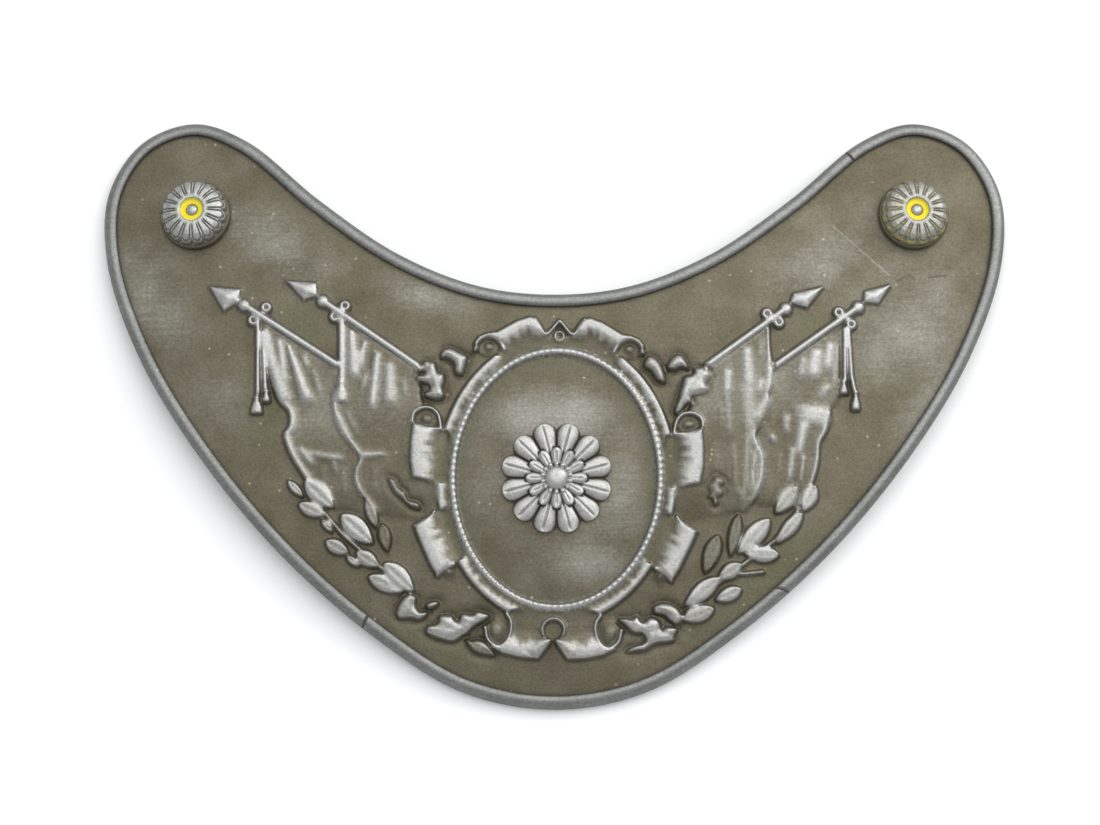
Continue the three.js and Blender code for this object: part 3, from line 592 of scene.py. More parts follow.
# %% [markdown]
# ## Cartouche
# The shield in the middle is a scrolled frame round a bead oval. Both halves are alike, so the frame is
# drawn once in its own turned coordinates, with the left half folded onto the right. Its bed is low. Its
# edges and flaps roll up and are rubbed bright, and the bright part ends in short uneven strokes, as an
# engraver hatches a shadow.

# %% Cartouche tables
OVAL_CENTRE = (0.4, -13.8)
OVAL_TURN = math.radians(-1.2)
BEAD_OVAL = (21.7, 26.7)
BAND_OVAL = (25.2, 30.4)
BEADS = {"count": 112, "half": 0.95, "rise": 1.75, "shine": 1.0}
BEAD_SEAT = {"half": 0.9, "rise": 1.45, "shine": 0.9}
BED = {"rise": 0.75, "shine": 0.08}
FIELD = {"edge": 0.45, "crown": 1.0, "shine": 0.12}
# Open stretches of the band's edge: angles on the oval in degrees, reach of the bright lip
LIPS = [(55, 17, 3.4), (-1, -15, 3.0), (-36, -71, 3.2)]
LIP_RISE = 1.75
# A flap has its outline, its outer edge, how far in its roll reaches, and the height of the roll.
FLAPS = [
    {"outline": [(1.0, 27.2), (1.6, 29.0), (2.9, 30.1), (4.2, 32.2), (5.2, 33.7), (6.3, 34.1),
                 (8.9, 33.2), (11.2, 31.9),
                 (13.2, 30.7), (15.2, 30.4), (17.0, 29.6), (18.0, 28.0), (17.4, 26.6), (15.6, 25.4),
                 (11.5, 25.6), (8.0, 26.0)],
     "edge": [(4.6, 33.4), (6.3, 34.1), (8.9, 33.2), (11.2, 31.9), (13.2, 30.7), (15.2, 30.4), (17.2, 29.4)],
     "reach": 5.2, "rise": 2.1},
    {"outline": [(22.5, 9.2), (24.3, 9.6), (27.2, 9.9), (29.4, 10.6), (30.3, 11.6), (30.8, 7.0),
                 (30.8, 3.0), (30.2, -0.5),
                 (27.8, -1.0), (25.4, -1.5), (22.5, -1.5)],
     "edge": [(30.3, 11.6), (30.8, 7.0), (30.8, 3.0), (30.2, -0.5)], "reach": 7.2, "rise": 2.3},
    {"outline": [(22.0, -6.6), (25.3, -7.3), (25.8, -8.3), (28.0, -9.5), (29.5, -10.6), (29.3, -11.7),
                 (27.9, -14.8),
                 (26.2, -18.4), (24.6, -20.9), (23.0, -19.5), (20.9, -18.2), (18.5, -16.5)],
     "edge": [(29.5, -10.6), (29.3, -11.7), (27.9, -14.8), (26.2, -18.4), (24.6, -20.9)], "reach": 6.8,
     "rise": 2.3},
    {"outline": [(-4.0, -27.2), (8.0, -27.2), (9.9, -28.0), (8.9, -29.8), (8.9, -31.4), (9.7, -33.5),
                 (11.3, -34.8),
                 (13.0, -34.6), (13.4, -35.0), (10.5, -36.5), (6.8, -37.3), (2.9, -37.5), (2.0, -36.3),
                 (0.0, -33.6),
                 (-4.0, -33.6)],
     "edge": [(13.4, -35.2), (10.5, -36.5), (6.8, -37.3), (2.9, -37.5)], "reach": 5.8, "rise": 2.0},
]
# A curl is a hollow with a small roll in it: centre, radii, radius of the roll
CURLS = [((14.7, 27.4), (2.5, 2.1), 1.1), ((27.4, 11.9), (2.7, 2.1), 1.3), ((21.9, -19.9), (1.4, 1.2), 0.6),
         ((11.9, -31.6), (2.4, 2.6), 1.35)]
# Bright edges of the rolled sheet
EDGES = [[(17.6, 26.6), (17.0, 28.3), (15.2, 29.5), (13.2, 28.9), (12.2, 27.9), (11.4, 26.7)],
         [(24.3, 9.7), (25.0, 12.8), (26.4, 14.1), (28.4, 14.2), (30.0, 13.2), (30.4, 11.4)],
         [(24.3, 9.7), (27.2, 10.0), (29.4, 10.7)], [(20.9, -18.2), (22.6, -19.2), (24.4, -20.7)],
         [(14.2, -31.0), (13.5, -33.7), (11.4, -34.8), (9.6, -33.6), (8.8, -31.4), (8.9, -29.6),
          (9.8, -28.2)],
         [(0.0, 33.2), (2.9, 30.2), (4.2, 32.2), (5.2, 33.6)],
         [(25.3, -7.4), (25.8, -8.3), (28.0, -9.5), (29.4, -10.5)]]
EDGE_BAR = {"half": 0.42, "rise": 1.8, "shine": 0.95}
FOOT_LEAF = [(0.1, -33.0), (2.6, -33.1), (4.4, -34.3), (6.0, -35.9), (4.4, -37.2), (2.9, -37.4),
             (2.0, -36.2), (0.4, -34.0)]
STROKE_PITCH = 0.5
rng = np.random.default_rng(7)

# %% Draw the cartouche


def oval_places(where):
    dx, dy = X[where] - OVAL_CENTRE[0], Y[where] - OVAL_CENTRE[1]
    cos, sin = math.cos(-OVAL_TURN), math.sin(-OVAL_TURN)
    return np.abs(dx * cos - dy * sin), dx * sin + dy * cos


def hatched(run, depth, reach):
    """How bright a rolled edge is: full at its top, ending in strokes of uneven length."""
    index = np.floor(run / STROKE_PITCH).astype(int)
    length = reach * (0.52 + 0.4 * rng.random(500))[index % 500]
    between = np.cos(2 * np.pi * run / STROKE_PITCH)
    faint = 0.1 * between * ease(0.2 * reach, 0.5 * reach, depth)
    return (1 - ease(length - 0.3 * reach, length, depth)) * (1 + faint)


def rolled_edge(edge, reach, rise, cover):
    depth = line_distance(at, edge)
    runs = [beside(at, a, b)[0].clip(0, math.dist(a, b)) for a, b in zip(edge, edge[1:])]
    roll = ease(reach, 0.3 * reach, depth) - 0.2 * (1 - ease(0, 0.8, depth))
    height = BED["rise"] + (rise - BED["rise"]) * roll
    lay_over(area, cover, height, BED["shine"] + 0.75 * hatched(sum(runs), depth, reach))


area = window([(-33, -53), (34, 24)], 1)
at = oval_places(area)
band_share = np.hypot(at[0] / BAND_OVAL[0], at[1] / BAND_OVAL[1])
bead_share = np.hypot(at[0] / BEAD_OVAL[0], at[1] / BEAD_OVAL[1])
from_centre = np.hypot(*at)
band_depth = (1 - band_share) * from_centre / np.maximum(band_share, 0.1)
lay_over(area, ease(-0.1, 0.35, band_depth), BED["rise"], BED["shine"])
for start, end, reach in LIPS:
    angles = np.radians(np.linspace(start, end, 12))
    arc = list(zip(BAND_OVAL[0] * np.cos(angles), BAND_OVAL[1] * np.sin(angles)))
    near = ease(reach + 1.0, reach, line_distance(at, arc))
    rolled_edge(arc, reach, LIP_RISE, near * ease(-0.1, 0.35, band_depth))
for flap in FLAPS:
    inside = ease(-0.1, 0.3, depth_inside(at, flap["outline"]))
    rolled_edge(flap["edge"], flap["reach"], flap["rise"], inside)
for centre, radii, roll in CURLS:
    off = np.hypot((at[0] - centre[0]) / radii[0], (at[1] - centre[1]) / radii[1])
    lay_over(area, ease(1.05, 0.8, off), 0.4, 0.05)
    raise_to(area, rounded(off * radii[0], roll, 1.1), 0.3)
foot_leaf_depth = depth_inside(at, FOOT_LEAF)
lay_over(area, ease(-0.1, 0.3, foot_leaf_depth), 1.7 + 0.5 * ease(0, 1.2, foot_leaf_depth), 0.7)
for points in EDGES:
    curve = spline(points, per_span=4)
    raise_to(area, rounded(line_distance(at, curve), EDGE_BAR["half"], EDGE_BAR["rise"]), EDGE_BAR["shine"])
eye = np.hypot(at[0], at[1] + 31.3)
lay_over(area, ease(2.1, 1.7, eye), 0.3, 0.0)
raise_to(area, rounded(eye - 2.3, 0.4, 1.6) * (at[1] > -32.7), 0.6)
raise_to(area, rounded(np.hypot(at[0], at[1] - 29.9) - 0.95, 0.3, 1.4), 0.7)
field = FIELD["edge"] + (FIELD["crown"] - FIELD["edge"]) * (1 - bead_share ** 2.5)
lay_over(area, ease(1.0, 0.985, bead_share), field, FIELD["shine"])
print("cartouche drawn, flaps and curls on a side:", len(FLAPS), len(CURLS))

# %% [markdown]
# ### Bead oval
# The beads were punched one by one at a steady pitch, close enough to touch. They are set out by distance
# along the oval, not by angle, so that the spacing stays even.

# %% Draw the beads
ring_angle = np.linspace(0, 2 * np.pi, 2000, endpoint=False)
bead_curve = np.column_stack([BEAD_OVAL[0] * np.cos(ring_angle), BEAD_OVAL[1] * np.sin(ring_angle)])
bead_length = np.hypot(*(np.roll(bead_curve, -1, axis=0) - bead_curve).T).sum()
bead_places, _, _ = evenly(bead_curve, bead_length / BEADS["count"])
bead_offset = (1 - bead_share) * from_centre / np.maximum(bead_share, 0.1)
raise_to(area, rounded(bead_offset, BEAD_SEAT["half"], BEAD_SEAT["rise"]), BEAD_SEAT["shine"])
cos, sin = math.cos(OVAL_TURN), math.sin(OVAL_TURN)
for u, v in bead_places:
    x, y = OVAL_CENTRE[0] + u * cos - v * sin, OVAL_CENTRE[1] + u * sin + v * cos
    knob(x, y, BEADS["half"], BEADS["rise"], BEADS["shine"])
print("beads:", len(bead_places), "pitch, mm:", round(bead_length / BEADS["count"], 2))

# %% [markdown]
# ## Wear and dirt, with painted sheen and shade
# The tools have marked which forms are rubbed bright. Dirt and painted shade follow from the heights: blur
# them, and whatever lies below its blurred self is a corner that a cloth doesn't reach and where shade
# falls, so it is painted darker, and so is a band along the binding. Broad rubbed places with painted sheen
# on the plain sheet, scratches and dark marks are listed.

# %% Soften the drawing and work out wear, painted sheen, dirt and painted shade
PUNCH_SOFTNESS = 0.16
WEAR_SOFTNESS = 0.22
# Blots: x, y, half length, half width, direction in degrees, strength
# Rubbed places and painted sheen: the broad bright patches on the plain sheet and on the field's upper part
# are painted highlights, with some real wear.
WORN_AND_SHEEN_BLOTS = [(-60, 37.5, 13, 6, -32, 0.36), (-85, 24, 7, 15, 25, 0.34), (-27, 24.5, 11, 4, -14, 0.36),
          (74, 18, 18, 12, 50, 0.3),
          (82, 4, 7, 14, -35, 0.28), (56, 33, 14, 7, 35, 0.3), (-70, 4, 10, 12, 40, 0.15),
          (0.4, -1.5, 14, 8, 0, 0.52),
          (-5, -6, 6, 9, 20, 0.4), (8, -31, 10, 7, 0, 0.35), (12, -18, 8, 12, 0, 0.35)]
SCRATCHES = [((59.3, 40.7), (71.0, 30.2))]
DARK_MARKS = [((72.6, 29.0), (74.4, 30.2)), ((79.4, 30.0), (83.0, 30.5)), ((-56.6, 31.9), (-55.2, 31.5)),
              ((75, 30.6), (76.4, 29.4))]
OLIVE = [(-54, 18, 7, 5, -30, 0.7), (53, 18, 7, 4, 35, 0.55), (65, 8, 6, 9, 80, 0.35),
         (45, -36, 14, 5, 40, 0.6),
         (-22, -50, 12, 4, -20, 0.4), (-60, -2, 5, 5, 0, 0.4)]


def blurred(field, radius):
    """A Gaussian blur of the whole board, by Fourier transform."""
    fx, fy = np.fft.fftfreq(field.shape[0], STEP)[:, None], np.fft.rfftfreq(field.shape[1], STEP)[None]
    kept = np.exp(-2 * (np.pi * radius) ** 2 * (fx ** 2 + fy ** 2))
    return np.fft.irfft2(np.fft.rfft2(field) * kept, field.shape)


def blots(rows):
    total = np.zeros_like(X)
    for x, y, long_half, short_half, turn, strength in rows:
        cos, sin = math.cos(math.radians(turn)), math.sin(math.radians(turn))
        along, across = (X - x) * cos + (Y - y) * sin, (Y - y) * cos - (X - x) * sin
        total = np.maximum(total, strength * np.exp(-(along / long_half) ** 2 - (across / short_half) ** 2))
    return total


def marks(lines, half_width):
    total = np.zeros_like(X)
    for line in lines:
        where = window(line, 1)
        total[where] = np.maximum(total[where], ease(half_width, 0.05,
                                                     line_distance((X[where], Y[where]), line)))
    return total


relief = blurred(relief, PUNCH_SOFTNESS)
coarse = np.s_[::5, ::5]
coarse_depth = depth_inside((X[coarse], Y[coarse]), [tuple(p) for p in edge[::6]])
by_row = np.array([np.interp(Y[0], Y[0, ::5], row) for row in coarse_depth])
edge_depth = np.array([np.interp(X[:, 0], X[::5, 0], column) for column in by_row.T]).T
# Painted shade and dirt along the binding: a dark band on the plate where it meets the binding's inner edge.
crease = np.exp(-np.clip(edge_depth - RIM_WIDTH, 0, None) / 0.9)
# Painted shade and dirt at the foot of every raised form: the board is darkened wherever it lies below its
# blurred self.
hollow = blurred(relief, 0.55) - relief
scratches = marks(SCRATCHES, 0.35)
# Wear with painted sheen: the rubbed forms, the blots of painted sheen and the scratches.
wear_and_sheen = np.clip(np.maximum.reduce([blurred(rubbed, WEAR_SOFTNESS), blots(WORN_AND_SHEEN_BLOTS), 0.36 * scratches]), 0, 1)
# Dirt and painted shade: the hollows and the crease are painted shade with dirt, and the dark marks are real
# stains.
dirt_and_shade = 0.5 * ease(0.1, 0.5, hollow) * (1 - 0.7 * wear_and_sheen) + 0.55 * crease + 0.5 * marks(DARK_MARKS, 0.5)
dirt_and_shade[area] += 0.42 * ease(0.62, 1.0, bead_share) * ease(1.16, 1.1, bead_share) * (1 - wear_and_sheen[area])
dirt_and_shade = np.clip(dirt_and_shade, 0, 1)
ring_halo = np.exp(-((np.abs(bead_offset) - 1.1) / 0.8) ** 2)
olive = blots(OLIVE)
olive[area] = np.maximum(olive[area], 0.8 * ring_halo)
# The worn share includes the painted sheen, and the dirty share includes the painted shade.
print("worn share:", round(float(wear_and_sheen.mean()), 3), "dirty_and_shaded share:", round(float(dirt_and_shade.mean()), 3))

# %% [markdown]
# ## The plate's mesh
# A mesh needs points where the drawing bends and few where it is plain. Nodes are picked from the board at
# three spacings, and Blender's Delaunay tool joins them. It fills the whole hull, so triangles that lie in
# the neck opening or in a bore are left out. The back is the same drawing, blurred as thick sheet blurs a
# die, and one sheet thickness lower.

# %% Build the plate
STUD_PLACE = (76.3, 43.4)
BORES = [(-STUD_PLACE[0], STUD_PLACE[1], 1.6), (STUD_PLACE[0], STUD_PLACE[1], 1.6), (*OVAL_CENTRE, 1.8)]
BACK_SOFTNESS = 1.1
BACK_SHARE = 0.85
FINE_NODES = 52000


def mesh_object(name, points, faces, attributes=()):
    mesh = bpy.data.meshes.new(name)
    mesh.from_pydata(np.asarray(points).tolist(), [], [tuple(face) for face in faces])
    mesh.polygons.foreach_set("use_smooth", [True] * len(mesh.polygons))
    for key, values in dict(attributes).items():
        mesh.attributes.new(key, "FLOAT", "POINT").data.foreach_set("value", np.asarray(values, np.float32))
    mesh.validate()
    return new_object(name, mesh)


def sampled(field, x, y):
    """Board values at any places, by bilinear interpolation."""
    i, j = (x - BOARD_LOW[0]) / STEP, (y - BOARD_LOW[1]) / STEP
    i0, j0 = np.clip(i.astype(int), 0, X.shape[0] - 2), np.clip(j.astype(int), 0, X.shape[1] - 2)
    a, b = i - i0, j - j0
    return ((1 - a) * (1 - b) * field[i0, j0] + a * (1 - b) * field[i0 + 1, j0]
            + (1 - a) * b * field[i0, j0 + 1] + a * b * field[i0 + 1, j0 + 1])


def triangles(loops, inner):
    """Joins points inside the first loop and outside the others."""
    points, edges = [], []
    for loop in loops:
        first = len(points)
        points += [tuple(p) for p in loop]
        edges += [(first + k, first + (k + 1) % len(loop)) for k in range(len(loop))]
    on_loops = len(points)
    points += [tuple(p) for p in inner]
    made = delaunay_2d_cdt([Vector(p) for p in points], edges, [], 0, 1e-5, False)
    places, faces = np.array([tuple(p) for p in made[0]]), np.array(made[2])
    doubtful = np.flatnonzero((faces < on_loops).all(axis=1))
    middle = tuple(places[faces[doubtful]].mean(axis=1).T)
    kept = depth_inside(middle, loops[0]) > 0
    for loop in loops[1:]:
        kept &= depth_inside(middle, loop) < 0
    return places, np.delete(faces, doubtful[~kept], axis=0)


plate_loops = [edge + edge_inward * PLATE_INSET]
for x, y, radius in BORES:
    turn = np.linspace(0, 2 * np.pi, 24, endpoint=False)
    plate_loops.append(np.column_stack([x + radius * np.cos(turn), y + radius * np.sin(turn)]))
clear = edge_depth > PLATE_INSET + 0.5
for x, y, radius in BORES:
    clear &= np.hypot(X - x, Y - y) > radius + 0.3
bend = np.abs(relief - blurred(relief, 0.35))
detail = blurred(bend, 0.2) + scratches + marks(DARK_MARKS, 0.5)
i, j = np.indices(X.shape)
fine = detail > np.partition(detail[clear], -FINE_NODES)[-FINE_NODES]
medium = (blurred(relief, 0.6) > 0.03) & (i % 3 == 0) & (j % 3 == 0)
sparse = (i % 6 == 0) & (j % 6 == 0)
picked = clear & (fine | medium | sparse)
front, front_faces = triangles(plate_loops, np.column_stack([X[picked], Y[picked]]))
rough = clear & (i % 7 == 0) & (j % 7 == 0)
back, back_faces = triangles(plate_loops, np.column_stack([X[rough], Y[rough]]))
back_relief = BACK_SHARE * blurred(relief, BACK_SOFTNESS) - SHEET_THICKNESS
front_points = to_frame(*front.T, sampled(relief, *front.T))
back_points = to_frame(*back.T, sampled(back_relief, *back.T))
walls = []
first = 0
for loop in plate_loops:
    around = first + np.arange(len(loop))
    following = np.roll(around, -1)
    walls += [(a, b, b + len(front), a + len(front)) for a, b in zip(around, following)]
    first += len(loop)
faces = [*front_faces, *(back_faces[:, ::-1] + len(front)), *walls]
both = np.vstack([front, back])
is_front = np.arange(len(both)) < len(front)
plate = mesh_object("stamped_plate", np.vstack([front_points, back_points]), faces, {
    "wear_and_sheen": np.where(is_front, sampled(wear_and_sheen, *both.T), 0.12),
    "dirt_and_shade": np.where(is_front, sampled(dirt_and_shade, *both.T), 0.25),
    "olive": np.where(is_front, sampled(olive, *both.T), 0.0),
})
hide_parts("plate")
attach(plate, "root")
print("plate triangles:", len(front_faces) + len(back_faces) + 2 * len(walls))
print("front nodes by spacing:", fine.sum(), medium.sum(), sparse.sum())

# %% [markdown]
# ## Edge binding
# A folded strip of steel grips the edge. Its section is swept round the outline: a rounded outside and a
# slot that the sheet sits in. Small uneven dents keep it from looking extruded, and three hairline cracks
# cross it.

# %% Build the binding
# The section's points: distance inward from the outline, height over the sheet, wear, dirt and painted
# shade. The dark inner foot, where the strip meets the plate, is painted shade with dirt.
RIM_SECTION = [
    (2.8, 0.3, 0.1, 1.0), (2.78, 0.55, 0.25, 0.5), (2.55, 0.85, 0.5, 0.1), (2.1, 1.08, 0.62, 0.0),
    (1.55, 1.15, 0.66, 0.0), (1.0, 1.05, 0.6, 0.0), (0.55, 0.75, 0.5, 0.0), (0.22, 0.3, 0.4, 0.1),
    (0.03, -0.25, 0.35, 0.2), (0.03, -0.8, 0.25, 0.3), (0.22, -1.4, 0.2, 0.3), (0.5, -1.85, 0.2, 0.3),
    (0.9, -2.08, 0.3, 0.3), (1.4, -2.1, 0.3, 0.3), (2.1, -2.05, 0.2, 0.3), (2.65, -1.9, 0.2, 0.4),
    (2.8, -1.6, 0.1, 0.7), (2.8, -1.3, 0.0, 1.0), (0.9, -1.3, 0.0, 1.0), (0.9, 0.3, 0.0, 1.0),
]
# Cracks: x, y, how far each runs along the edge for each mm inward
CRACKS = [(62.8, 57.3, 0.0), (-40.4, -44.0, 0.2), (48.3, -37.0, 0.6)]
CRACK = {"half": 0.24, "depth": 0.3, "zone": 2.4}
DENT = 0.07

crack_runs = [edge_run[np.argmin(np.hypot(edge[:, 0] - x, edge[:, 1] - y))] for x, y, _ in CRACKS]
zones = [run + np.linspace(-CRACK["zone"], CRACK["zone"], 49) for run in crack_runs]
stations = np.unique(np.round(np.concatenate([edge_run, *zones]), 3))
closed_run = np.append(edge_run, edge_run[-1] + EDGE_SPACING)


def at_stations(field):
    """Edge points or directions at every station."""
    closed = np.vstack([field, field[:1]])
    return np.column_stack([np.interp(stations, closed_run, closed[:, k]) for k in (0, 1)])


rim_edge, rim_inward = at_stations(edge), at_stations(edge_inward)
dents = sum(np.sin(2 * np.pi * waves * stations / closed_run[-1] + phase) / 3
            for waves, phase in ((7, 0.4), (19, 2.1), (43, 4.0)))
rows, cuts = [], []
for inward, up, _, _ in RIM_SECTION:
    outside = min(1, max(0, (up - 0.3) / 0.4))
    cut_here = sum(np.exp(-((stations - run - slant * (inward - RIM_WIDTH / 2)) / CRACK["half"]) ** 2)
                   for run, (_, _, slant) in zip(crack_runs, CRACKS))
    place = rim_edge + rim_inward * inward
    rows.append(to_frame(*place.T, up - outside * (DENT * dents + CRACK["depth"] * cut_here)))
    cuts.append(np.clip(cut_here, 0, 1))
rim_points, rim_cuts = np.stack(rows, axis=1), np.stack(cuts, axis=1)
section_wear, section_dirt_and_shade = np.array(RIM_SECTION)[:, 2:].T
count, around = rim_cuts.shape
index = np.arange(count * around).reshape(count, around)
nxt = np.roll(index, -1, axis=0)
quads = [index, np.roll(index, -1, axis=1), np.roll(nxt, -1, axis=1), nxt]
rim_faces = np.stack(quads, axis=-1).reshape(-1, 4)
rim = mesh_object("edge_binding", rim_points.reshape(-1, 3), rim_faces[:, ::-1], {
    "wear_and_sheen": (section_wear * (1 - rim_cuts)).ravel(),
    "dirt_and_shade": np.maximum(section_dirt_and_shade, 0.8 * rim_cuts).ravel(),
})
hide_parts("rim")
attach(rim, "root")
print("binding faces:", len(rim_faces))

# %% [markdown]
# ## Studs and pins
# Each upper corner has a domed stud pressed with sixteen petals, like a daisy, round a cup that was filled
# with yellow paint. A round-headed pin goes through its middle. Studs and pins are turned forms, so they
# are swept round an axis that stands square to the sheet, with a groove cut round each petal.

# %% Build the studs and pins
PETALS = {"count": 16, "half": 0.72, "tip": 5.95, "groove": 0.15, "depth": 0.25}
# Radius and height from the cup outward over the dome and collar, then back under to the bore
STUD_PROFILE = [(1.6, 0.0), (1.6, 2.6), (1.32, 2.7), (1.32, 4.15), (2.2, 4.15), (2.38, 4.3), (2.5, 4.75),
                (2.7, 4.9), (3.2, 4.92), (4.5, 4.78), (5.6, 4.42),
                (6.4, 3.85), (6.95, 3.05), (7.15, 2.3), (7.0, 1.45), (7.1, 1.3), (7.4, 1.15),
                (7.55, 0.9), (7.55, 0.2), (7.45, 0.0),
                (1.6, 0.0)]
PIN_PROFILE = [(0, 5.05), (0.5, 5.0), (0.95, 4.8), (1.22, 4.5), (1.3, 4.2), (1.3, -2.6), (2.85, -2.6),
               (3.0, -2.7),
               (3.0, -3.2), (2.9, -3.3), (0, -3.3)]
GAP = 0.3
STUD_SEGMENTS = 384
PIN_SEGMENTS = 64


def profile_rows(profile, spacing):
    """A profile with extra points so that no step is longer than the spacing."""
    rows = []
    for (r0, z0), (r1, z1) in zip(profile, profile[1:]):
        steps = max(1, round(math.dist((r0, z0), (r1, z1)) / spacing))
        rows += [(r0 + (r1 - r0) * k / steps, z0 + (z1 - z0) * k / steps) for k in range(steps)]
    return np.array([*rows, profile[-1]])


def turned_grid(profile, segments):
    """Radius, height and angle at each node of a turned form."""
    radius, angle = np.meshgrid(profile[:, 0], np.linspace(0, 2 * np.pi, segments, endpoint=False),
                                indexing="ij")
    return radius, np.repeat(profile[:, 1:], segments, axis=1), angle


def stand_on_sheet(x, y, up, radius, height, angle):
    """A turned form's nodes, with its axis square to the sheet at a drawing place."""
    normal = sheet_normal(x, y)
    foot = Vector(to_frame(np.array([x]), np.array([y]), 0.0)[0]) + normal * up * MM
    turn = Vector((0, 0, 1)).rotation_difference(normal).to_matrix()
    local = np.column_stack([(radius * np.cos(angle)).ravel(), (radius * np.sin(angle)).ravel(),
                             height.ravel()])
    return local * MM @ np.array(turn).T + np.array(foot)


def grid_faces(rows, segments, closed):
    index = np.arange(rows * segments).reshape(rows, segments)
    nxt = np.roll(index, -1, axis=0) if closed else index[1:]
    index = index if closed else index[:-1]
    return np.stack([index, nxt, np.roll(nxt, -1, axis=1), np.roll(index, -1, axis=1)],
                    axis=-1).reshape(-1, 4)


def welded(piece):
    """Merges the nodes that meet on the axis."""
    modifier = piece.modifiers.new("weld", "WELD")
    modifier.merge_threshold = 1e-6
    return piece


stud_profile = profile_rows(STUD_PROFILE, 0.22)
studs = []
for side, x, paint_left, shine in (("left", -STUD_PLACE[0], 0.15, 0.9), ("right", STUD_PLACE[0], 0.45, 0.7)):
    radius, height, angle = turned_grid(stud_profile, STUD_SEGMENTS)
    across = 2 * (angle * PETALS["count"] / (2 * np.pi) % 1) - 1
    on_dome = (height > 1.6) & (radius > 2.6)
    off_middle = np.abs(across) * radius * np.pi / PETALS["count"]
    half = PETALS["half"] * np.minimum(radius, PETALS["tip"]) * np.pi / PETALS["count"]
    from_line = np.hypot(off_middle, np.maximum(radius - PETALS["tip"], 0)) - half
    groove = on_dome * np.exp(-(from_line / PETALS["groove"]) ** 2) * ease(2.9, 3.9, radius)
    scallop = on_dome * 0.5 * np.abs(across) ** 3 * ease(6.0, 6.9, radius)
    cup = (radius < 2.5) & (height > 3.5)
    collar = ease(1.6, 1.4, height)
    stained = np.maximum(groove, ease(6.6, 7.1, radius)) * on_dome
    places = stand_on_sheet(x, STUD_PLACE[1], GAP, radius - scallop, height - PETALS["depth"] * groove,
                            angle)
    piece = mesh_object(f"stud_{side}", places, grid_faces(len(stud_profile), STUD_SEGMENTS, True), {
        "wear_and_sheen": (shine * (1 - 0.5 * groove) * (1 - 0.9 * collar)).ravel(),
        # Dirt and painted shade in the petal grooves, and painted shade on the collar under the dome's edge,
        # which is also left brown.
        "dirt_and_shade": np.clip(0.9 * groove + 0.35 * collar, 0, 1).ravel(),
        "paint": np.clip(0.9 * cup + paint_left * stained, 0, 1).ravel(),
    })
    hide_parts(f"boss_{side}")
    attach(piece, "root")
    studs.append(piece)
    pin_profile = profile_rows(PIN_PROFILE, 0.3)
    radius, height, angle = turned_grid(pin_profile, PIN_SEGMENTS)
    pin = mesh_object(f"stud_pin_{side}", stand_on_sheet(x, STUD_PLACE[1], 0, radius, height, angle),
                      grid_faces(len(pin_profile), PIN_SEGMENTS, False), {
        "wear_and_sheen": np.where(height > 3, 0.9, 0.3).ravel(),
        # Painted shade with dirt round the shank in the cup, under the head; the hidden tail is darker too.
        "dirt_and_shade": (ease(4.4, 4.2, height) * (height > 3) * 0.2 + 0.2 * (height < 0)).ravel(),
    })
    welded(pin)
    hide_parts(f"pin_{side}")
    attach(pin, "root")
    studs.append(pin)
print("studs and pins:", [piece.name for piece in studs])

# %% [markdown]
# ## Centre rosette
# A rosette fills the middle of the oval. It has two rings of petals round a button, and it is swept round
# its own axis like the studs: the petals are pillows in the height, and their tips shape the edge.

# %% Build the rosette
ROSETTE = {"radius": 11.7, "petals": 12, "post": 1.5, "inner": 6.4, "foot": -2.4}
BUTTON = {"radius": 2.5, "rise": 1.5, "seat": 1.75, "beads": 14, "ring": 2.9}
FIELD_SEAT = 0.8
SEGMENTS = 480
PETAL_HALF_TURN = 0.26


def petal_ring(radius, angle, start, tip, phase):
    """How far up a petal's pillow each node is, from 0 at its edge to 1, and its offset from the midrib."""
    across = 2 * ((angle + phase) * ROSETTE["petals"] / (2 * np.pi) % 1) - 1
    along = np.clip((radius - start) / (tip - start), 0, 1)
    width = 0.97 * np.sqrt(np.clip(1 - np.clip((along - 0.62) / 0.38, 0, 1) ** 2, 0, 1))
    return np.sqrt(np.clip(1 - (across / np.maximum(width, 1e-3)) ** 2, 0, 1)) * (along < 1), across, along


def cut_rib(across, along, half, start, end):
    """A groove along each petal's midrib, fading out at both ends."""
    groove = np.exp(-(across * radius * PETAL_HALF_TURN / half) ** 2)
    return groove * ease(*start, along) * (1 - ease(*end, along))


share = np.linspace(0, 1, 90)
angle = np.linspace(0, 2 * np.pi, SEGMENTS, endpoint=False)
across = 2 * (angle * ROSETTE["petals"] / (2 * np.pi) % 1) - 1
reach = ROSETTE["radius"] * (1 - 0.13 * np.abs(across) ** 2.2)
radius = share[:, None] * reach[None]
angle = np.repeat(angle[None], len(share), axis=0)
outer, outer_across, outer_along = petal_ring(radius, angle, 3.0, ROSETTE["radius"] + 0.4, 0)
inner, inner_across, inner_along = petal_ring(radius, angle, 1.0, ROSETTE["inner"],
                                              np.pi / ROSETTE["petals"])
rib = cut_rib(outer_across, outer_along, 0.22, (0.1, 0.3), (0.8, 0.95))
height = 0.55 + 1.0 * outer * (1 - 0.35 * ease(0.6, 1.0, outer_along)) - 0.25 * rib
inner_rib = cut_rib(inner_across, inner_along, 0.2, (0.2, 0.4), (0.75, 0.9))
height = np.where(inner > 0.15, np.maximum(height, 1.35 + 0.8 * inner - 0.2 * inner_rib), height)
button = rounded(radius, BUTTON["radius"], BUTTON["rise"])
height = np.where(radius < BUTTON["radius"], BUTTON["seat"] + button, height)
bead_turn = 2 * np.pi / BUTTON["beads"]
round_ring = (angle / bead_turn % 1 - 0.5) * BUTTON["ring"] * bead_turn
bead_ring = rounded(np.hypot(radius - BUTTON["ring"], round_ring), 0.55, 0.6)
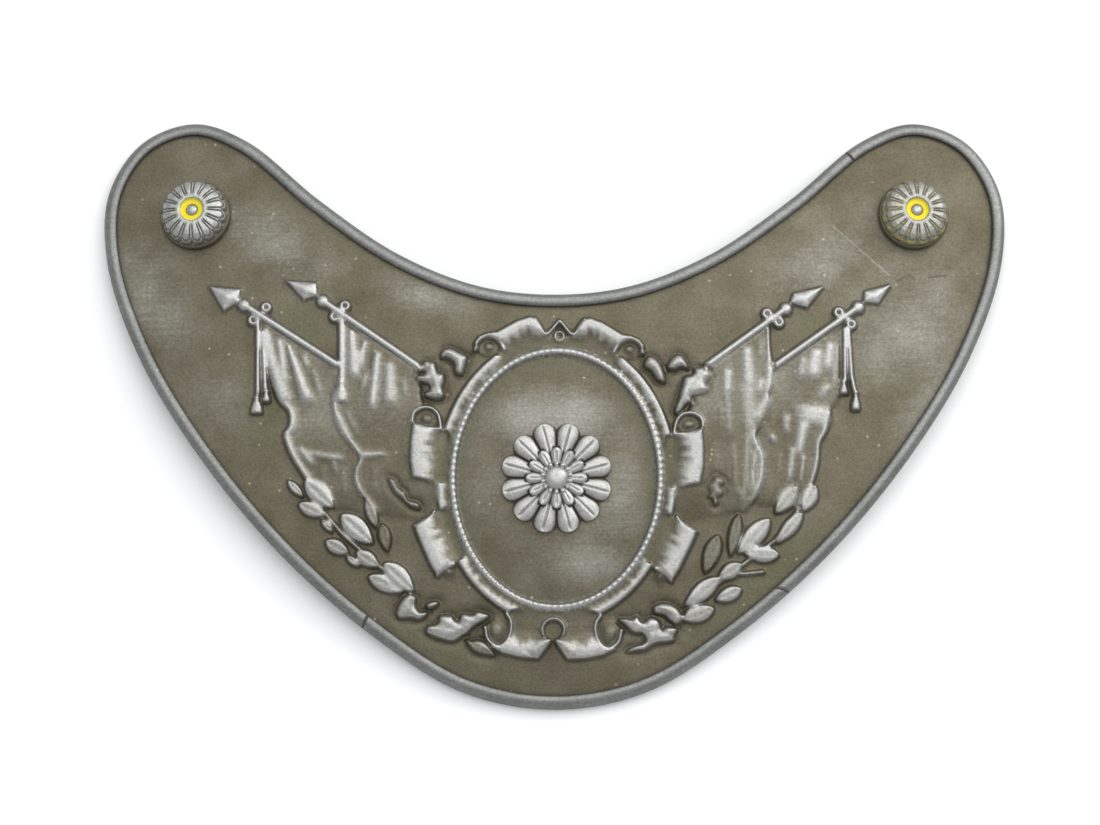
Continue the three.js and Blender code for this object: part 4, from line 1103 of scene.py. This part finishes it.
height = np.where((radius > 2.3) & (radius < 3.5), np.maximum(height, 1.7 + bead_ring * 1.2), height)
height[-1] = 0.35
post = np.full((2, SEGMENTS), ROSETTE["post"])
base_radius = np.vstack([reach[None] * 0.995, post, np.zeros((1, SEGMENTS))])
base_height = np.vstack([np.zeros((2, SEGMENTS)), np.full((2, SEGMENTS), ROSETTE["foot"])])
radius_all = np.vstack([radius, base_radius])
height_all = np.vstack([height, base_height])
angle_all = np.vstack([angle, np.repeat(angle[:1], 4, axis=0)])
# Dirt and painted shade: nodes lower than their neighbours round the ring, and the low parts between the
# petals, are darkened.
mean_height = sum(np.roll(height, k, axis=1) for k in range(-8, 9, 2)) / 9
low = np.clip((mean_height - height) * 3, 0, 1)
rosette_points = stand_on_sheet(*OVAL_CENTRE, FIELD_SEAT + GAP, radius_all, height_all, angle_all)
rosette = mesh_object("centre_rosette", rosette_points, grid_faces(len(radius_all), SEGMENTS, False), {
    "wear_and_sheen": np.vstack([ease(0.5, 1.5, height) * (1 - 0.6 * low), np.full((4, SEGMENTS), 0.2)]).ravel(),
    "dirt_and_shade": np.vstack([np.clip(low + 0.5 * ease(1.0, 0.5, height), 0, 1),
                       np.full((4, SEGMENTS), 0.4)]).ravel(),
})
welded(rosette)
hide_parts("centre_rosette")
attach(rosette, "root")
print("rosette nodes:", radius_all.size)

# %% [markdown]
# ## Finishes
# Everything is steel that was struck, blacked or browned, and then rubbed for years. Rubbed steel is a
# bright metal of middling roughness. Its patina is a thin brown skin that dulls the metal, and dirt is a
# matt film that hides it. The same bright metal is also painted on as sheen, and the same dark film as shade
# in hollows and creases. One recipe mixes the three by the wear with painted sheen and the dirt with painted
# shade stored on each mesh, with its edges broken up by fine noise, because real wear is never a clean line.

# %% Steel finishes
BRIGHT_STEEL = "#adadaa"
MOTTLE_MM = 9.0
RAGGED_MM = 0.7
BRUSH_MM = (0.45, 9.0)
SPECK_MM = 2.2
GRAIN_MM = 0.45


def per_metre(size_mm):
    return 1 / (size_mm * MM)


def rubbed_steel(name, patina, bright, dirt_and_shade_colour, brush_turn, paint=None):
    """Struck sheet steel with a brown patina: bright where it is rubbed and where a sheen is painted, dark
    and matt where dirt has stayed and where shade is painted.
    """
    material = bpy.data.materials.new(name)
    material.use_nodes = True
    tree = material.node_tree
    surface = tree.nodes["Principled BSDF"]
    place = add_node(tree, "ShaderNodeTexCoord").outputs["Object"]
    # The wear attribute holds wear and painted sheen, and the dirt attribute holds dirt and painted shade.
    wear_and_sheen = add_node(tree, "ShaderNodeAttribute", attribute_name="wear_and_sheen").outputs["Fac"]
    dirt_and_shade = add_node(tree, "ShaderNodeAttribute", attribute_name="dirt_and_shade").outputs["Fac"]
    olive = add_node(tree, "ShaderNodeAttribute", attribute_name="olive").outputs["Fac"]

    mottle = add_node(tree, "ShaderNodeTexNoise", {"Vector": place, "Scale": per_metre(MOTTLE_MM),
                                                   "Detail": 5.0})
    ragged = add_node(tree, "ShaderNodeTexNoise", {"Vector": place, "Scale": per_metre(RAGGED_MM),
                                                   "Detail": 3.0})
    brush_place = add_node(tree, "ShaderNodeMapping", {
        "Vector": place, "Rotation": (0, 0, math.radians(brush_turn)),
        "Scale": (per_metre(BRUSH_MM[1]), per_metre(BRUSH_MM[0]), per_metre(BRUSH_MM[1]))})
    brush = add_node(tree, "ShaderNodeTexNoise", {"Vector": brush_place.outputs["Vector"], "Scale": 1.0,
                                                  "Detail": 4.0})
    specks = add_node(tree, "ShaderNodeTexVoronoi", {"Vector": place, "Scale": per_metre(SPECK_MM)})

    skin = add_node(tree, "ShaderNodeMix", {0: mottle.outputs["Fac"], 6: linear(patina[0]),
                                            7: linear(patina[1])}, data_type="RGBA")
    tinted = add_node(tree, "ShaderNodeMix", {0: olive, 6: skin.outputs[2], 7: linear("#676650")},
                      data_type="RGBA")

    uneven = add_node(tree, "ShaderNodeMath", {0: ragged.outputs["Fac"], 1: brush.outputs["Fac"]},
                      operation="ADD")
    blotchy = add_node(tree, "ShaderNodeMath", {0: uneven.outputs[0], 1: mottle.outputs["Fac"]},
                       operation="ADD")
    shake = add_node(tree, "ShaderNodeMath", {0: blotchy.outputs[0], 1: 0.32, 2: -0.48},
                     operation="MULTIPLY_ADD")
    shaken = add_node(tree, "ShaderNodeMath", {0: wear_and_sheen, 1: shake.outputs[0]}, operation="ADD")
    rubbed = add_node(tree, "ShaderNodeMapRange", {"Value": shaken.outputs[0], "From Min": 0.0,
                                                   "From Max": 1.0},
                      interpolation_type="SMOOTHSTEP")
    metal = add_node(tree, "ShaderNodeMix", {0: rubbed.outputs["Result"], 6: tinted.outputs[2],
                                             7: linear(bright)}, data_type="RGBA")

    # Dirt and painted shade cover the metal with a dark matt film.
    dirt_and_shade_shaken = add_node(tree, "ShaderNodeMath", {0: dirt_and_shade, 1: shake.outputs[0]}, operation="ADD")
    grime_and_shade = add_node(tree, "ShaderNodeMapRange", {"Value": dirt_and_shade_shaken.outputs[0], "From Min": 0.15,
                                                  "From Max": 1.0},
                     interpolation_type="SMOOTHSTEP")
    coated = add_node(tree, "ShaderNodeMix", {0: grime_and_shade.outputs["Result"], 6: metal.outputs[2],
                                              7: linear(dirt_and_shade_colour)}, data_type="RGBA")

    rare = add_node(tree, "ShaderNodeSeparateColor", {0: specks.outputs["Color"]})
    chosen = add_node(tree, "ShaderNodeMath", {0: rare.outputs[0], 1: 0.8}, operation="GREATER_THAN")
    dot = add_node(tree, "ShaderNodeMapRange", {"Value": specks.outputs["Distance"], "From Min": 0.16,
                                                "From Max": 0.05})
    speck = add_node(tree, "ShaderNodeMath", {0: dot.outputs["Result"], 1: chosen.outputs[0]},
                     operation="MULTIPLY")
    speckled = add_node(tree, "ShaderNodeMix", {0: speck.outputs[0], 6: coated.outputs[2],
                                                7: linear("#a39c8a")}, data_type="RGBA")
    grain = add_node(tree, "ShaderNodeTexNoise", {"Vector": place, "Scale": per_metre(GRAIN_MM),
                                                  "Detail": 2.0})
    shade = add_node(tree, "ShaderNodeMapRange", {"Value": grain.outputs["Fac"], "From Min": 0.25,
                                                  "From Max": 0.75, "To Min": 0.8, "To Max": 1.2})
    colour = add_node(tree, "ShaderNodeMix", {0: 1.0, 6: speckled.outputs[2], 7: shade.outputs["Result"]},
                      data_type="RGBA", blend_type="MULTIPLY").outputs[2]
    covered = grime_and_shade.outputs["Result"]

    if paint:
        painted = add_node(tree, "ShaderNodeAttribute", attribute_name="paint").outputs["Fac"]
        flaked = add_node(tree, "ShaderNodeMath", {0: painted, 1: shake.outputs[0]}, operation="ADD")
        film = add_node(tree, "ShaderNodeMapRange", {"Value": flaked.outputs[0], "From Min": 0.3,
                                                     "From Max": 0.7})
        colour = add_node(tree, "ShaderNodeMix", {0: film.outputs["Result"], 6: colour,
                                                  7: linear(paint)}, data_type="RGBA").outputs[2]
        covered = add_node(tree, "ShaderNodeMath", {0: covered, 1: film.outputs["Result"]},
                           operation="MAXIMUM").outputs[0]

    tree.links.new(colour, surface.inputs["Base Color"])
    metallic = add_node(tree, "ShaderNodeMapRange", {"Value": covered, "To Min": 0.95, "To Max": 0.1})
    tree.links.new(metallic.outputs["Result"], surface.inputs["Metallic"])
    dull = add_node(tree, "ShaderNodeMapRange", {"Value": rubbed.outputs["Result"], "To Min": 0.52,
                                                 "To Max": 0.36})
    streaked = add_node(tree, "ShaderNodeMath", {0: brush.outputs["Fac"], 1: 0.14,
                                                 2: dull.outputs["Result"]}, operation="MULTIPLY_ADD")
    matt = add_node(tree, "ShaderNodeMath", {0: covered, 1: 0.25, 2: streaked.outputs[0]},
                    operation="MULTIPLY_ADD")
    tree.links.new(matt.outputs[0], surface.inputs["Roughness"])

    pitted = add_node(tree, "ShaderNodeMath", {0: brush.outputs["Fac"], 1: 0.8, 2: grain.outputs["Fac"]},
                      operation="MULTIPLY_ADD")
    bump = add_node(tree, "ShaderNodeBump", {"Height": pitted.outputs[0], "Strength": 0.35,
                                             "Distance": 0.05 * MM})
    tree.links.new(bump.outputs["Normal"], surface.inputs["Normal"])
    return material


# Each finish: name, patina colours, bright metal, colour of dirt and painted shade, brush direction, and
# paint if any.
FINISHES = {
    "plate": rubbed_steel("browned sheet steel, stamped and rubbed", ("#534d3b", "#7b7666"),
                          BRIGHT_STEEL, "#3d3729", 35),
    "rim": rubbed_steel("steel strip, folded and worn", ("#4f504b", "#686863"), "#8f908e", "#3a352c", 90),
    "boss": rubbed_steel("stud steel, pressed and worn, with yellow paint", ("#5f5949", "#736d5e"),
                         "#a8a9a5", "#38332a", 0, "#dccd2e"),
    "pin": rubbed_steel("pin steel, turned and worn", ("#6c6c68", "#807f7b"), "#a9aaa9", "#38332a", 0),
    "rosette": rubbed_steel("rosette steel, pressed and rubbed", ("#625c50", "#7a7466"), BRIGHT_STEEL,
                            "#2f2a20", 0),
}
plate.data.materials.append(FINISHES["plate"])
rim.data.materials.append(FINISHES["rim"])
rosette.data.materials.append(FINISHES["rosette"])
for piece in studs:
    piece.data.materials.append(FINISHES["pin" if "pin" in piece.name else "boss"])
print("finishes:", [material.name for material in FINISHES.values()])

# %% [markdown]
# The dressed model has to fill the same box as the frame. Its box is printed at the end.

# %% Print the dressed box
low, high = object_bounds()
print("dressed box, mm:", [round(1000 * side, 1) for side in high - low])
